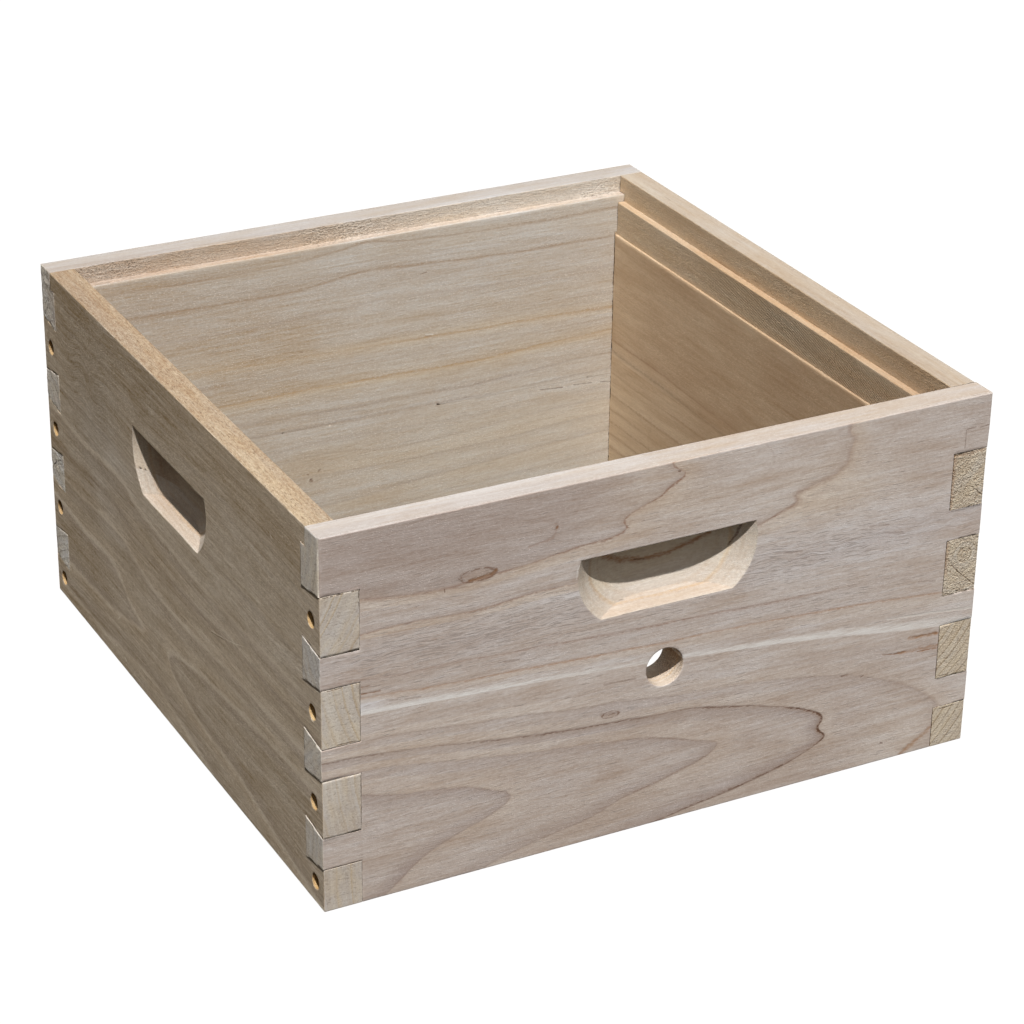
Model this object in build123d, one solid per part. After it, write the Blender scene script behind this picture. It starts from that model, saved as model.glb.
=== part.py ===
from build123d import *
import os

# Bare wooden hive box, open at top and bottom.
# Millimetres. Origin at the centre of the bottom rim, +Z up,
# X along the front wall (left to right), -Y is the front.

# ---------------------------------------------------------------- dimensions
LENGTH = 460.0            # outside, along X
WIDTH = 460.0             # outside, along Y
HEIGHT = 250.0            # wall height
WALL = 25.0               # board thickness

# through dovetails: tails on the side walls, pins on the front and back walls
# depths below the top rim, measured at the outer end of each tail
TAILS = [(37.5, 77.0), (98.5, 138.0), (159.5, 199.0), (220.5, 250.0)]
TAIL_SLOPE = 3.6          # each flank leans this much over the wall thickness

# top rebate in the front and back walls
END_LAND = 18.5           # rim left standing
END_REBATE_DEPTH = 12.5

# frame rest in the side walls
SIDE_LAND = 18.0          # rim left standing
REST_DEPTH = 18.0         # ledge that carries the frame lugs
RELIEF_CUT = 1.7          # shallow relief below the ledge
RELIEF_DEPTH = 43.0       # lower end of the relief

# hand hold, swept by a barrel-shaped cutter that turns on an upright axis
# and is drawn a little way along the wall; its lower side slopes outwards
HOLD_TOP = 52.2           # depth of the flat lifting edge
HOLD_BOTTOM = 95.2        # depth of the straight lower edge
HOLD_AXIS_OUT = 67.6      # cutter axis, outside the face
HOLD_RADIUS = 85.0        # cutter at its fattest
HOLD_APEX = 11.5          # fattest point, below the lifting edge
HOLD_CROWN = 61.4         # crown radius of the cutter's edge
HOLD_TRAVEL = 10.9        # either way along the wall from its middle
HOLD_SLOPE = 0.48         # rise of the lower side for each mm into the wall
HOLD_OVER = 3.0           # cutter below the lower edge, outside the wall
HOLD_LEFT_BACK = 3.0      # the left wall's hold sits this far behind the middle

# entrance
ENTRANCE_D = 26.0
ENTRANCE_DEPTH = 139.0    # centre, below the top rim

# drilled pockets and screws, one in each tail
HOLE_DEPTHS = [57.5, 118.5, 179.5, 235.3]
HOLE_IN = 12.5            # hole centre from the end of the side wall
POCKET_D = 10.0
POCKET_DEEP = 9.0
SHANK_HOLE_D = 5.2
SCREW_LEN = 60.0          # below the head
SCREW_THREAD_D = 5.0
SCREW_CORE_D = 3.6
SCREW_SHANK_D = 4.4
SCREW_SHANK_LEN = 18.0
SCREW_PITCH = 2.6
HEAD_D = 9.0
HEAD_H = 2.8

# glue lines, as depths below the top rim at the two ends of each wall
LEFT_SEAM = (79.0, 84.0)      # at the back end, at the front end
RIGHT_SEAM = (140.0, 140.0)
BACK_SEAM = (148.0, 155.4)    # at the left end, at the right end

HX = LENGTH / 2.0
HY = WIDTH / 2.0


def block(x0, x1, y0, y1, z0, z1):
    return Pos((x0 + x1) / 2, (y0 + y1) / 2, (z0 + z1) / 2) * Box(
        abs(x1 - x0), abs(y1 - y0), abs(z1 - z0)
    )


def rod_x(x0, x1, y, z, d):
    return Pos((x0 + x1) / 2, y, z) * Rot(0, 90, 0) * Cylinder(d / 2, abs(x1 - x0))


# ---------------------------------------------------------------- tails
def tail(side, end, span):
    """One tail of a side wall. side and end are -1 or +1 along X and Y."""
    d0, d1 = span
    last = d1 >= HEIGHT
    y_end, y_base = end * HY, end * (HY - WALL)
    low_base = d1 if last else d1 - TAIL_SLOPE
    pts = [
        (y_end, HEIGHT - d0),
        (y_end, HEIGHT - d1),
        (y_base, HEIGHT - low_base),
        (y_base, HEIGHT - d0 - TAIL_SLOPE),
    ]
    face = Plane.YZ * make_face(Polyline(*pts, close=True))
    body = extrude(face, WALL)
    grow = body.bounding_box()
    return Pos((-HX if side < 0 else HX - WALL) - grow.min.X, 0, 0) * body


# ---------------------------------------------------------------- hand hold
def hold_radius(s):
    return HOLD_RADIUS - HOLD_CROWN + (HOLD_CROWN**2 - (s - HOLD_APEX) ** 2) ** 0.5


def hold_cutter():
    s_end = HOLD_BOTTOM - HOLD_TOP + HOLD_OVER
    zt, zb = HEIGHT - HOLD_TOP, HEIGHT - HOLD_BOTTOM
    p_top = (hold_radius(0), zt)
    p_mid = (hold_radius(s_end / 2), zt - s_end / 2)
    p_low = (hold_radius(s_end), zt - s_end)
    outline = (
        Line((0, zt), p_top)
        + ThreePointArc(p_top, p_mid, p_low)
        + Line(p_low, (0, zt - s_end))
        + Line((0, zt - s_end), (0, zt))
    )
    face = Plane.XZ * make_face(outline)
    # cuts towards +X, drawn along Y: two quarter turns and the run between them
    far = Pos(0, HOLD_TRAVEL, 0) * revolve(face, Axis.Z, 90)
    near = Pos(0, -HOLD_TRAVEL, 0) * revolve(face, Axis.Z, -90)
    run = Pos(0, HOLD_TRAVEL, 0) * extrude(face, 2 * HOLD_TRAVEL)
    # everything under the sloping lower side is left standing
    out, back = HOLD_OVER / HOLD_SLOPE + 2, 30.0
    under = [
        (HOLD_AXIS_OUT - out, zb - HOLD_SLOPE * out),
        (HOLD_AXIS_OUT + back, zb + HOLD_SLOPE * back),
        (HOLD_AXIS_OUT + back, zb - 20),
        (HOLD_AXIS_OUT - out, zb - 20),
    ]
    keep = Pos(0, 100, 0) * extrude(Plane.XZ * make_face(Polyline(*under, close=True)), 200)
    return far + near + run - keep


CUTTER = hold_cutter()


# ---------------------------------------------------------------- walls
def end_wall(end):
    """Front (end = -1) or back (end = +1) wall, before any glue line."""
    wall = block(-HX, HX, end * (HY - WALL), end * HY, 0, HEIGHT)
    for side in (-1, 1):
        for span in TAILS:
            wall -= tail(side, end, span)
    # top rebate along the inner edge, right through both half pins
    wall -= block(
        -HX - 1, HX + 1,
        end * (HY - WALL - 1), end * (HY - END_LAND),
        HEIGHT - END_REBATE_DEPTH, HEIGHT + 1,
    )
    wall -= Pos(0, end * (HY + HOLD_AXIS_OUT), 0) * Rot(0, 0, -90 * end) * CUTTER
    # pilot holes for the screws, into the end grain
    for side in (-1, 1):
        for depth in HOLE_DEPTHS:
            wall -= rod_x(
                side * (HX - WALL), side * (HX - POCKET_DEEP - SCREW_LEN - 2),
                end * (HY - HOLE_IN), HEIGHT - depth, SHANK_HOLE_D,
            )
    return wall


def side_wall(side):
    """Left (side = -1) or right (side = +1) wall, before any glue line."""
    xo, xi = side * HX, side * (HX - WALL)
    wall = block(xo, xi, -(HY - WALL), HY - WALL, 0, HEIGHT)
    for end in (-1, 1):
        # shoulder that fills the end wall's rebate at the corner
        wall += block(
            xo, xi,
            end * (HY - WALL), end * (HY - END_LAND),
            HEIGHT - END_REBATE_DEPTH, HEIGHT,
        )
        for span in TAILS:
            wall += tail(side, end, span)
    # frame rest, through to both ends
    wall -= block(
        side * (HX - SIDE_LAND), side * (HX - WALL - 1),
        -HY, HY, HEIGHT - REST_DEPTH, HEIGHT + 1,
    )
    # shallow relief under the ledge
    wall -= block(
        side * (HX - WALL + RELIEF_CUT), side * (HX - WALL - 1),
        -(HY - WALL), HY - WALL, HEIGHT - RELIEF_DEPTH, HEIGHT - REST_DEPTH,
    )
    along = HOLD_LEFT_BACK if side < 0 else 0.0
    wall -= Pos(side * (HX + HOLD_AXIS_OUT), along, 0) * Rot(0, 0, 90 + 90 * side) * CUTTER
    for end in (-1, 1):
        for depth in HOLE_DEPTHS:
            y, z = end * (HY - HOLE_IN), HEIGHT - depth
            wall -= rod_x(xo + side, side * (HX - POCKET_DEEP), y, z, POCKET_D)
            wall -= rod_x(side * (HX - 1), side * (HX - WALL - 1), y, z, SHANK_HOLE_D)
    return wall


def seam_plane(p_a, p_b, across):
    """Plane of a glue line through two points, with its normal upwards."""
    a, b = Vector(*p_a), Vector(*p_b)
    along = (b - a).normalized()
    normal = along.cross(Vector(*across)).normalized()
    if normal.Z < 0:
        normal = normal * -1
    return Plane(origin=a, x_dir=along, z_dir=normal)


def staves(wall, plane):
    upper = split(wall, bisect_by=plane, keep=Keep.TOP)
    lower = split(wall, bisect_by=plane, keep=Keep.BOTTOM)
    return upper, lower


front_board = end_wall(-1)
back_wall = end_wall(1)
left_wall = side_wall(-1)
right_wall = side_wall(1)

left_upper, left_lower = staves(
    left_wall,
    seam_plane((-HX, HY, HEIGHT - LEFT_SEAM[0]), (-HX, -HY, HEIGHT - LEFT_SEAM[1]), (1, 0, 0)),
)
right_upper, right_lower = staves(
    right_wall,
    seam_plane((HX, HY, HEIGHT - RIGHT_SEAM[0]), (HX, -HY, HEIGHT - RIGHT_SEAM[1]), (1, 0, 0)),
)
back_upper, back_lower = staves(
    back_wall,
    seam_plane((-HX, HY, HEIGHT - BACK_SEAM[0]), (HX, HY, HEIGHT - BACK_SEAM[1]), (0, 1, 0)),
)


# ---------------------------------------------------------------- entrance
front_board -= (
    Pos(0, -HY + WALL / 2, HEIGHT - ENTRANCE_DEPTH)
    * Rot(90, 0, 0)
    * Cylinder(ENTRANCE_D / 2, WALL + 2)
)


# ---------------------------------------------------------------- screws
def screw():
    """Flat-underside wood screw, head up, underside of the head at z = 0."""
    rc, rt = SCREW_CORE_D / 2, SCREW_THREAD_D / 2
    pts = [
        (0, HEAD_H),
        (HEAD_D / 2 - 1.5, HEAD_H),
        (HEAD_D / 2 - 0.4, HEAD_H - 0.7),
        (HEAD_D / 2, HEAD_H - 1.6),
        (HEAD_D / 2, 0),
        (SCREW_SHANK_D / 2, 0),
        (SCREW_SHANK_D / 2, -SCREW_SHANK_LEN),
        (rc, -SCREW_SHANK_LEN - 0.4),
    ]
    z = -SCREW_SHANK_LEN - 0.8
    tip = -SCREW_LEN
    while z - SCREW_PITCH > tip + 8.0:
        pts += [
            (rc, z),
            (rt, z - 0.45 * SCREW_PITCH),
            (rt, z - 0.55 * SCREW_PITCH),
            (rc, z - 0.85 * SCREW_PITCH),
        ]
        z -= SCREW_PITCH
    pts += [(rc, z), (rc * 0.8, tip + 4.5), (0, tip)]
    body = revolve(Plane.XZ * make_face(Polyline(*pts, close=True)), Axis.Z, 360)
    # cross recess
    for turn in (0, 90):
        body -= Rot(0, 0, turn) * Pos(0, 0, HEAD_H - 0.8) * Box(4.6, 1.0, 2.2)
    return body


SCREW = screw()


def corner_screws():
    group = []
    for side in (-1, 1):
        for end in (-1, 1):
            for depth in HOLE_DEPTHS:
                place = Pos(
                    side * (HX - POCKET_DEEP), end * (HY - HOLE_IN), HEIGHT - depth
                ) * Rot(0, 90 * side, 0)
                turn = Rot(0, 0, (37 * len(group)) % 90)
                group.append(place * turn * SCREW)
    return group


# ---------------------------------------------------------------- write
def one_solid(shape):
    found = shape.solids()
    assert len(found) == 1, len(found)
    return found[0]


os.makedirs("parts", exist_ok=True)

NODES = {
    "front_board": one_solid(front_board),
    "back_upper_stave": one_solid(back_upper),
    "back_lower_stave": one_solid(back_lower),
    "left_upper_stave": one_solid(left_upper),
    "left_lower_stave": one_solid(left_lower),
    "right_upper_stave": one_solid(right_upper),
    "right_lower_stave": one_solid(right_lower),
    "corner_screws": Compound([one_solid(s) for s in corner_screws()]),
}

for name, shape in NODES.items():
    shape.label = name
    export_step(shape, os.path.join("parts", name + ".step"))
    box = shape.bounding_box()
    print(
        name,
        "solids", len(shape.solids()),
        "volume_cm3", round(shape.volume / 1000, 2),
        "min", [round(v, 2) for v in (box.min.X, box.min.Y, box.min.Z)],
        "max", [round(v, 2) for v in (box.max.X, box.max.Y, box.max.Z)],
    )
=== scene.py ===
import math

import bmesh
import bpy
import numpy as np
from mathutils import Matrix, Vector
from mathutils.bvhtree import BVHTree


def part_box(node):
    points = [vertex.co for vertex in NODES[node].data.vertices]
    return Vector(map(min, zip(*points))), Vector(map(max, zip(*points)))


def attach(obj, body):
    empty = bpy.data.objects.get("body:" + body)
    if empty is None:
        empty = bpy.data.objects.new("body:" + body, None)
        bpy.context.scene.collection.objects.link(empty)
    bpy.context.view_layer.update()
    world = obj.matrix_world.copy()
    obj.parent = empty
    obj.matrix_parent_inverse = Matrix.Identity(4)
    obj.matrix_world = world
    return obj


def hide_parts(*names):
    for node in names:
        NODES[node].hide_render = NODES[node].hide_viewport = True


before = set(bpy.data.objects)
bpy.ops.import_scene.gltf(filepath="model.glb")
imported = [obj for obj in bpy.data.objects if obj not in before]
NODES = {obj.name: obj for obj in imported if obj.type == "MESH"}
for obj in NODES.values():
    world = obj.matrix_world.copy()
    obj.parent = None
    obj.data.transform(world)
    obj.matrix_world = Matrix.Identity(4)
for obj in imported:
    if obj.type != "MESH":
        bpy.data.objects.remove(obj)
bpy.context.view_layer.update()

# Bare wooden hive box: every board is remeshed from its CAD node, eased, chipped and
# opened a little at the joints, and carries its growth rings as mesh attributes.
# Lengths in this file are millimetres unless they go straight to Blender.
SCENE = bpy.context.scene
HX = HY = 230.0
H = 250.0
T = 25.0
MM = 0.001
HOLES = (57.5, 118.5, 179.5, 235.3)


# ------------------------------------------------------------------ small maths
def smooth(a, b, x):
    t = np.clip((np.asarray(x, float) - a) / (b - a), 0.0, 1.0)
    return t * t * (3.0 - 2.0 * t)


def bell(x, at, width):
    return np.exp(-(((x - at) / width) ** 2))


def vnoise(p, seed):
    """Smooth lattice noise, 0 to 1, at the points p (n, 3)."""
    p = np.asarray(p, float)
    i = np.floor(p).astype(np.int64)
    f = p - i
    f = f * f * (3.0 - 2.0 * f)

    def corner(dx, dy, dz):
        n = ((i[:, 0] + dx) * 73856093) ^ ((i[:, 1] + dy) * 19349663) ^ ((i[:, 2] + dz) * 83492791)
        n = (n ^ (seed * 2654435761)) & 0xFFFFFFFF
        n = ((n ^ (n >> 15)) * 2246822519) & 0xFFFFFFFF
        n = ((n ^ (n >> 13)) * 3266489917) & 0xFFFFFFFF
        n = n ^ (n >> 16)
        return (n & 0xFFFF) / 65535.0

    fx, fy, fz = f[:, 0], f[:, 1], f[:, 2]
    x00 = corner(0, 0, 0) * (1 - fx) + corner(1, 0, 0) * fx
    x10 = corner(0, 1, 0) * (1 - fx) + corner(1, 1, 0) * fx
    x01 = corner(0, 0, 1) * (1 - fx) + corner(1, 0, 1) * fx
    x11 = corner(0, 1, 1) * (1 - fx) + corner(1, 1, 1) * fx
    return (x00 * (1 - fy) + x10 * fy) * (1 - fz) + (x01 * (1 - fy) + x11 * fy) * fz


def near_line(x, d, pts):
    """Distance in mm from points to a bent line."""
    best = np.full(len(x), 1e9)
    for (ax, ad), (bx, bd) in zip(pts[:-1], pts[1:]):
        ex, ed = bx - ax, bd - ad
        h = np.clip(((x - ax) * ex + (d - ad) * ed) / (ex * ex + ed * ed), 0, 1)
        best = np.minimum(best, np.hypot(x - ax - h * ex, d - ad - h * ed))
    return best


def plate(lines, along=0.22, give=1e-4):
    """Thin-plate field through growth lines [(level, [(X, D), ...]), ...], tabulated.

    The field gives the level and its slopes along X and D, at points in mm."""
    pts = np.array([p for _, ps in lines for p in ps], float) * (along, 1.0)
    val = np.array([lv for lv, ps in lines for _ in ps], float)
    n = len(pts)

    def kernel(a, b):
        r2 = ((a[:, None, :] - b[None, :, :]) ** 2).sum(-1)
        return 0.5 * r2 * np.log(r2 + 1e-9)

    k = kernel(pts, pts)
    q = np.c_[np.ones(n), pts]
    a = np.zeros((n + 3, n + 3))
    a[:n, :n] = k + np.eye(n) * give * np.abs(k).mean()
    a[:n, n:], a[n:, :n] = q, q.T
    w = np.linalg.solve(a, np.r_[val, np.zeros(3)])
    gx, gd = np.arange(-4.0, 466.0, 2.0), np.arange(-4.0, 256.0, 1.0)
    mx, md = np.meshgrid(gx, gd, indexing="ij")
    p = np.c_[mx.ravel() * along, md.ravel()]
    out = np.empty(len(p))
    for s in range(0, len(p), 20000):
        c = p[s:s + 20000]
        out[s:s + 20000] = kernel(c, pts) @ w[:n] + w[n] + c @ w[n + 1:]
    table = out.reshape(mx.shape)
    sx, sd = np.gradient(table, 2.0, 1.0)

    def field(x, d):
        fx = np.clip((np.asarray(x, float) + 4.0) / 2.0, 0, len(gx) - 1.001)
        fd = np.clip(np.asarray(d, float) + 4.0, 0, len(gd) - 1.001)
        i, j = fx.astype(int), fd.astype(int)
        a, b = fx - i, fd - j
        return [g[i, j] * (1 - a) * (1 - b) + g[i + 1, j] * a * (1 - b) + g[i, j + 1] * (1 - a) * b
                + g[i + 1, j + 1] * a * b for g in (table, sx, sd)]

    return field


def px(level, *pairs):
    """Growth line given in steps of 1/3.2 mm."""
    return (level, [(a / 3.2, b / 3.2) for a, b in pairs])


# ------------------------------------------------------------------ growth lines
# X runs along the board, D is the depth below the top rim.
FRONT_LINES = [
    px(9, (90, 20), (300, 15), (500, 22), (620, 12)),
    px(8, (85, 142), (130, 150), (190, 155), (250, 160), (370, 153), (440, 147), (500, 140),
       (560, 135), (620, 131), (638, 124), (640, 112), (631, 105), (636, 96), (655, 87), (690, 75),
       (715, 67), (727, 54), (750, 42), (766, 31), (757, 20), (738, 12), (735, 2)),
    px(6, (0, 212), (85, 215), (150, 213), (220, 215), (300, 221), (380, 217), (430, 212), (540, 211),
       (640, 206), (740, 199), (840, 190), (940, 177), (985, 160), (1020, 150), (1029, 140), (1015, 134),
       (1022, 127), (1060, 117), (1100, 108), (1122, 95), (1140, 80), (1144, 50), (1151, 32), (1139, 24),
       (1140, 2)),
    px(4.6, (1300, 60), (1460, 120), (1250, 200)),
    px(4, (60, 262), (300, 275), (640, 290), (1000, 290), (1240, 268), (1460, 240)),
    px(3, (0, 305), (60, 304), (100, 314), (300, 322), (500, 333), (700, 345), (830, 350), (950, 357),
       (1100, 362), (1250, 365), (1472, 374)),
    px(2, (0, 342), (80, 349), (200, 360), (300, 367), (500, 378), (700, 388), (850, 393), (1000, 400),
       (1200, 413), (1390, 432), (1472, 440)),
    px(1, (0, 366), (80, 372), (200, 380), (300, 388), (450, 398), (600, 410), (700, 420), (800, 432),
       (900, 441), (1000, 450), (1100, 460), (1200, 470), (1300, 480), (1472, 497)),
    px(0, (0, 405), (200, 416), (500, 436), (800, 470), (1100, 500), (1300, 532), (1472, 575)),
    px(-1, (0, 440), (80, 443), (192, 449), (256, 456), (320, 464), (384, 469), (448, 477), (560, 492), (640, 497), (760, 515), (900, 528),
       (1010, 540), (1080, 553), (1180, 575), (1250, 600), (1330, 640), (1395, 690), (1412, 740), (1400, 795)),
    px(-2, (0, 470), (130, 480), (220, 490), (300, 504), (420, 520), (520, 533), (600, 540), (700, 547),
       (800, 555), (850, 565), (920, 580), (1000, 601), (1060, 622), (1100, 641), (1117, 660), (1104, 675),
       (1111, 690), (1124, 703), (1100, 720), (1050, 740), (1000, 752), (900, 772), (850, 780), (740, 796)),
    px(-3, (0, 505), (100, 509), (200, 522), (330, 545), (400, 556), (500, 568), (590, 580), (700, 597),
       (780, 620), (830, 638), (866, 646), (861, 661), (830, 680), (780, 695), (700, 712), (640, 725),
       (600, 742), (540, 755), (480, 765), (400, 781), (340, 797)),
    px(-4, (0, 540), (85, 560), (150, 578), (240, 590), (300, 601), (350, 621), (396, 642), (389, 661),
       (340, 685), (290, 701), (240, 720), (200, 740), (170, 766), (130, 797)),
    px(-4.7, (0, 640), (90, 650), (180, 655), (60, 720)),
]
LEFT_UPPER_LINES = [
    px(0, (0, 0), (500, -4), (1000, 4), (1472, 0)),
    px(4, (0, 100), (330, 96), (700, 102), (1100, 98), (1472, 100)),
    px(8, (0, 200), (180, 190), (260, 205), (400, 196), (700, 201), (1100, 205), (1472, 210)),
    px(10, (0, 262), (400, 258), (900, 268), (1472, 275)),
]
LEFT_LOWER_LINES = [
    px(0, (0, 262), (500, 268), (1000, 285), (1472, 295)),
    px(1, (0, 330), (75, 330), (200, 335), (330, 330), (420, 325), (470, 331), (520, 345), (600, 355),
       (700, 362), (850, 370), (950, 373), (1100, 368), (1250, 362), (1472, 365)),
    px(2, (0, 412), (200, 410), (380, 400), (470, 412), (520, 425), (620, 433), (750, 438), (1000, 432),
       (1250, 428), (1472, 428)),
    px(3, (0, 482), (180, 480), (300, 470), (400, 465), (450, 470), (500, 485), (550, 497), (620, 507),
       (700, 512), (850, 510), (1000, 500), (1200, 493), (1472, 489)),
    px(4, (0, 550), (200, 560), (330, 553), (380, 560), (420, 580), (450, 600), (500, 622), (553, 636),
       (500, 652), (420, 668), (300, 684), (150, 692), (0, 698)),
    px(3.75, (620, 638)),
    px(4, (1472, 548), (1250, 556), (1100, 565), (950, 575), (850, 586), (760, 600), (705, 615), (682, 636),
       (700, 660), (760, 683), (850, 706), (950, 714), (1050, 722), (1150, 740), (1250, 760), (1370, 780),
       (1472, 797)),
    px(4.9, (150, 622), (1000, 640), (1250, 660)),
    px(3, (0, 770), (300, 765), (620, 745), (800, 775), (900, 797)),
]
BACK_UPPER_LINES = [
    px(0, (0, 18), (500, 16), (745, 5), (900, 14), (1472, 18)),
    px(1, (0, 68), (400, 71), (550, 69), (620, 64), (700, 54), (745, 45), (790, 54), (850, 62), (950, 66),
       (1472, 70)),
    px(2, (0, 132), (180, 133), (400, 137), (500, 139), (600, 134), (680, 124), (760, 117), (830, 122),
       (950, 130), (1150, 137), (1472, 142)),
    px(3, (0, 208), (500, 205), (760, 195), (1000, 205), (1472, 212)),
    px(5, (0, 285), (320, 291), (460, 297), (600, 302), (800, 307), (1000, 312), (1472, 324)),
    px(7, (0, 388), (400, 386), (600, 383), (750, 387), (900, 391), (1200, 385), (1472, 378)),
    px(8, (0, 436), (450, 443), (700, 450), (1000, 454), (1472, 440)),
    px(9, (0, 470), (490, 478), (900, 482), (1472, 480)),
    px(10, (0, 500), (490, 505), (900, 510), (1472, 515)),
]
BACK_LOWER_LINES = [
    px(0, (0, 470), (500, 486), (900, 492), (1472, 500)),
    px(1, (0, 520), (500, 525), (700, 520), (900, 528), (1200, 525), (1472, 530)),
    px(2, (200, 600), (450, 565), (620, 555), (800, 575), (1000, 572), (1250, 560), (1472, 565)),
    px(3, (300, 640), (480, 610), (720, 610), (1000, 612), (1250, 600), (1472, 605)),
    px(3.4, (600, 640), (900, 640)),
    px(3, (350, 680), (640, 690), (900, 670), (1100, 660), (1300, 648), (1472, 640)),
    px(2, (200, 740), (650, 730), (1000, 712), (1472, 690)),
    px(1, (0, 790), (500, 785), (1000, 770), (1472, 750)),
]
RIGHT_UPPER_LINES = [
    px(0, (0, 0), (500, 4), (1000, -4), (1472, 0)),
    px(2, (0, 150), (500, 156), (1000, 148), (1472, 152)),
    px(4, (0, 290), (500, 284), (1000, 292), (1472, 286)),
    px(5, (0, 350), (300, 345), (900, 352), (1472, 350)),
    px(6, (0, 404), (120, 408), (300, 404), (500, 410), (1000, 415), (1472, 410)),
    px(7, (0, 432), (300, 436), (1000, 440), (1472, 438)),
    px(8, (0, 470), (500, 466), (1472, 472)),
]
RIGHT_LOWER_LINES = [
    px(0, (0, 436), (1472, 440)),
    px(1, (0, 492), (400, 489), (900, 486), (1472, 480)),
    px(2, (0, 552), (300, 548), (900, 545), (1472, 540)),
    px(3, (0, 590), (300, 586), (900, 582), (1472, 580)),
    px(4, (0, 622), (300, 618), (900, 615), (1472, 612)),
    px(5, (0, 657), (300, 652), (900, 648), (1472, 645)),
    px(6, (0, 690), (300, 686), (900, 682), (1472, 680)),
    px(7, (0, 740), (300, 736), (900, 730), (1472, 728)),
    px(8, (0, 795), (500, 790), (1472, 785)),
]


# ------------------------------------------------------------------ boards
class Board:
    def __init__(self, node, wall, lines, slope, knots=(), seed=1):
        self.node, self.wall, self.seed = node, wall, seed
        self.field = plate(lines)
        self.slope = slope          # levels per mm into the board
        self.knots = knots          # (X, D, half length, half height)
        self.end_wall = wall in ("front", "back")
        self.side = {"front": -1, "back": 1, "left": -1, "right": 1}[wall]

    def local(self, p):
        """Along, depth below the rim, depth from the outer face, for points p in mm."""
        if self.end_wall:
            return p[:, 0] + HX, H - p[:, 2], HY - self.side * p[:, 1]
        return HY - p[:, 1], H - p[:, 2], HX - self.side * p[:, 0]


BOARDS = [
    Board("front_board", "front", FRONT_LINES, 1 / 11.0,
          knots=[(100.6, 45.6, 12.6, 4.5), (192.8, 163.0, 6.5, 2.4)], seed=11),
    Board("back_upper_stave", "back", BACK_UPPER_LINES, 1 / 14.0, seed=23),
    Board("back_lower_stave", "back", BACK_LOWER_LINES, 1 / 12.0,
          knots=[(187.0, 192.5, 1.7, 1.9)], seed=29),
    Board("left_upper_stave", "left", LEFT_UPPER_LINES, 1 / 9.0, seed=31),
    Board("left_lower_stave", "left", LEFT_LOWER_LINES, 1 / 12.0, seed=37),
    Board("right_upper_stave", "right", RIGHT_UPPER_LINES, 1 / 9.0, seed=41),
    Board("right_lower_stave", "right", RIGHT_LOWER_LINES, 1 / 7.0, seed=43),
]

# end grain: per wall, end and depth band, the pith's place (from the outer face, depth
# below the rim), the ring spacing and how torn the cut is
END_RINGS = {
    ("left", -1): [(57, -118, -20, 5.6, 0.2), (118, 150, 80, 6.6, 0.25), (180, 170, 150, 6.0, 0.2), (236, 190, 226, 5.4, 0.2)],
    ("left", 1): [(57, 160, 20, 5.2, 0.5), (118, 150, 90, 6.0, 0.6), (180, 170, 160, 5.4, 0.5), (236, 190, 230, 5.0, 0.5)],
    ("right", -1): [(57, 40, 28, 5.0, 0.8), (118, 10.3, 111.3, 5.0, 0.75), (180, 84, 118, 5.0, 0.5), (236, 98, 168, 5.2, 0.45)],
    ("right", 1): [(57, 42, 30, 5.6, 0.8), (118, 11.5, 112.5, 5.0, 0.8), (180, 84, 120, 4.8, 0.5), (236, 96, 166, 5.0, 0.5)],
    ("front", -1): [(15, 140, -10, 5.6, 0.3), (88, -90, 20, 5.4, 0.4), (149, 130, 40, 5.6, 0.4), (210, 170, 190, 5.8, 0.35), (260, 160, 250, 5.6, 0.3)],
    ("front", 1): [(15, 150, 0, 5.6, 0.6), (88, -90, 30, 5.4, 0.7), (149, 130, 50, 5.6, 0.7), (210, 150, 220, 5.8, 0.6), (260, 150, 250, 5.6, 0.5)],
    ("back", -1): [(15, 70, -60, 5.0, 0.9), (88, 80, 10, 5.2, 0.75), (149, 60, 50, 5.4, 1.0), (210, 60, 300, 5.2, 0.9), (260, 60, 330, 5.0, 0.7)],
    ("back", 1): [(15, 70, -60, 5.0, 0.7), (88, 80, 10, 5.2, 0.7), (149, 60, 50, 5.4, 0.8), (210, 60, 300, 5.2, 0.7), (260, 60, 330, 5.0, 0.7)],
}


# ------------------------------------------------------------------ meshes
def steps(lo, hi, coarse, fine=()):
    """Cut places from lo to hi; fine is [(from, to, step), ...]."""
    out, x = [], lo + coarse * 0.37
    while x < hi:
        step = coarse
        for a, b, s in fine:
            if a <= x < b:
                step = s
        out.append(x)
        x += step
    return out


def seam_depth(wall, along):
    if wall == "left":
        return 79.0 + 5.0 * along / 460.0
    if wall == "right":
        return 140.0 + 0.0 * along
    if wall == "back":
        return 148.0 + 7.4 * along / 460.0
    return -99.0 + 0.0 * along


BEVEL = 0.6


def ease(board, edge):
    """How far a sharp edge is eased, in mm."""
    a, b = (Vector(v.co) * 1000.0 for v in edge.verts)
    pts = np.array([a, b], float)
    x, d, w = board.local(pts)
    if np.all(np.abs(d - seam_depth(board.wall, x)) < 0.05):
        return 0.0
    m = (a + b) / 2
    rim = m.z > H - 0.1 or m.z < 0.1
    if abs(m.x) > HX - T - 0.3 and abs(m.y) > HY - T - 0.3:
        if abs(m.x) > HX - 0.1 and abs(m.y) > HY - 0.1:
            return 0.5
        return 0.35 if rim else 0.22
    by_hole = abs(abs(m.y) - (HY - 12.5)) < 6 and not board.end_wall
    if by_hole and abs(abs(m.x) - HX) < 0.2:
        return 0.25
    if abs(abs(m.x) - (HX - 9)) < 0.3 or abs(abs(m.x) - (HX - T)) < 0.3 and by_hole:
        return 0.0
    if rim:
        return 0.6
    if 51 < H - m.z < 97 and w.mean() < 1:
        return 0.35
    return 0.45


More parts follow.
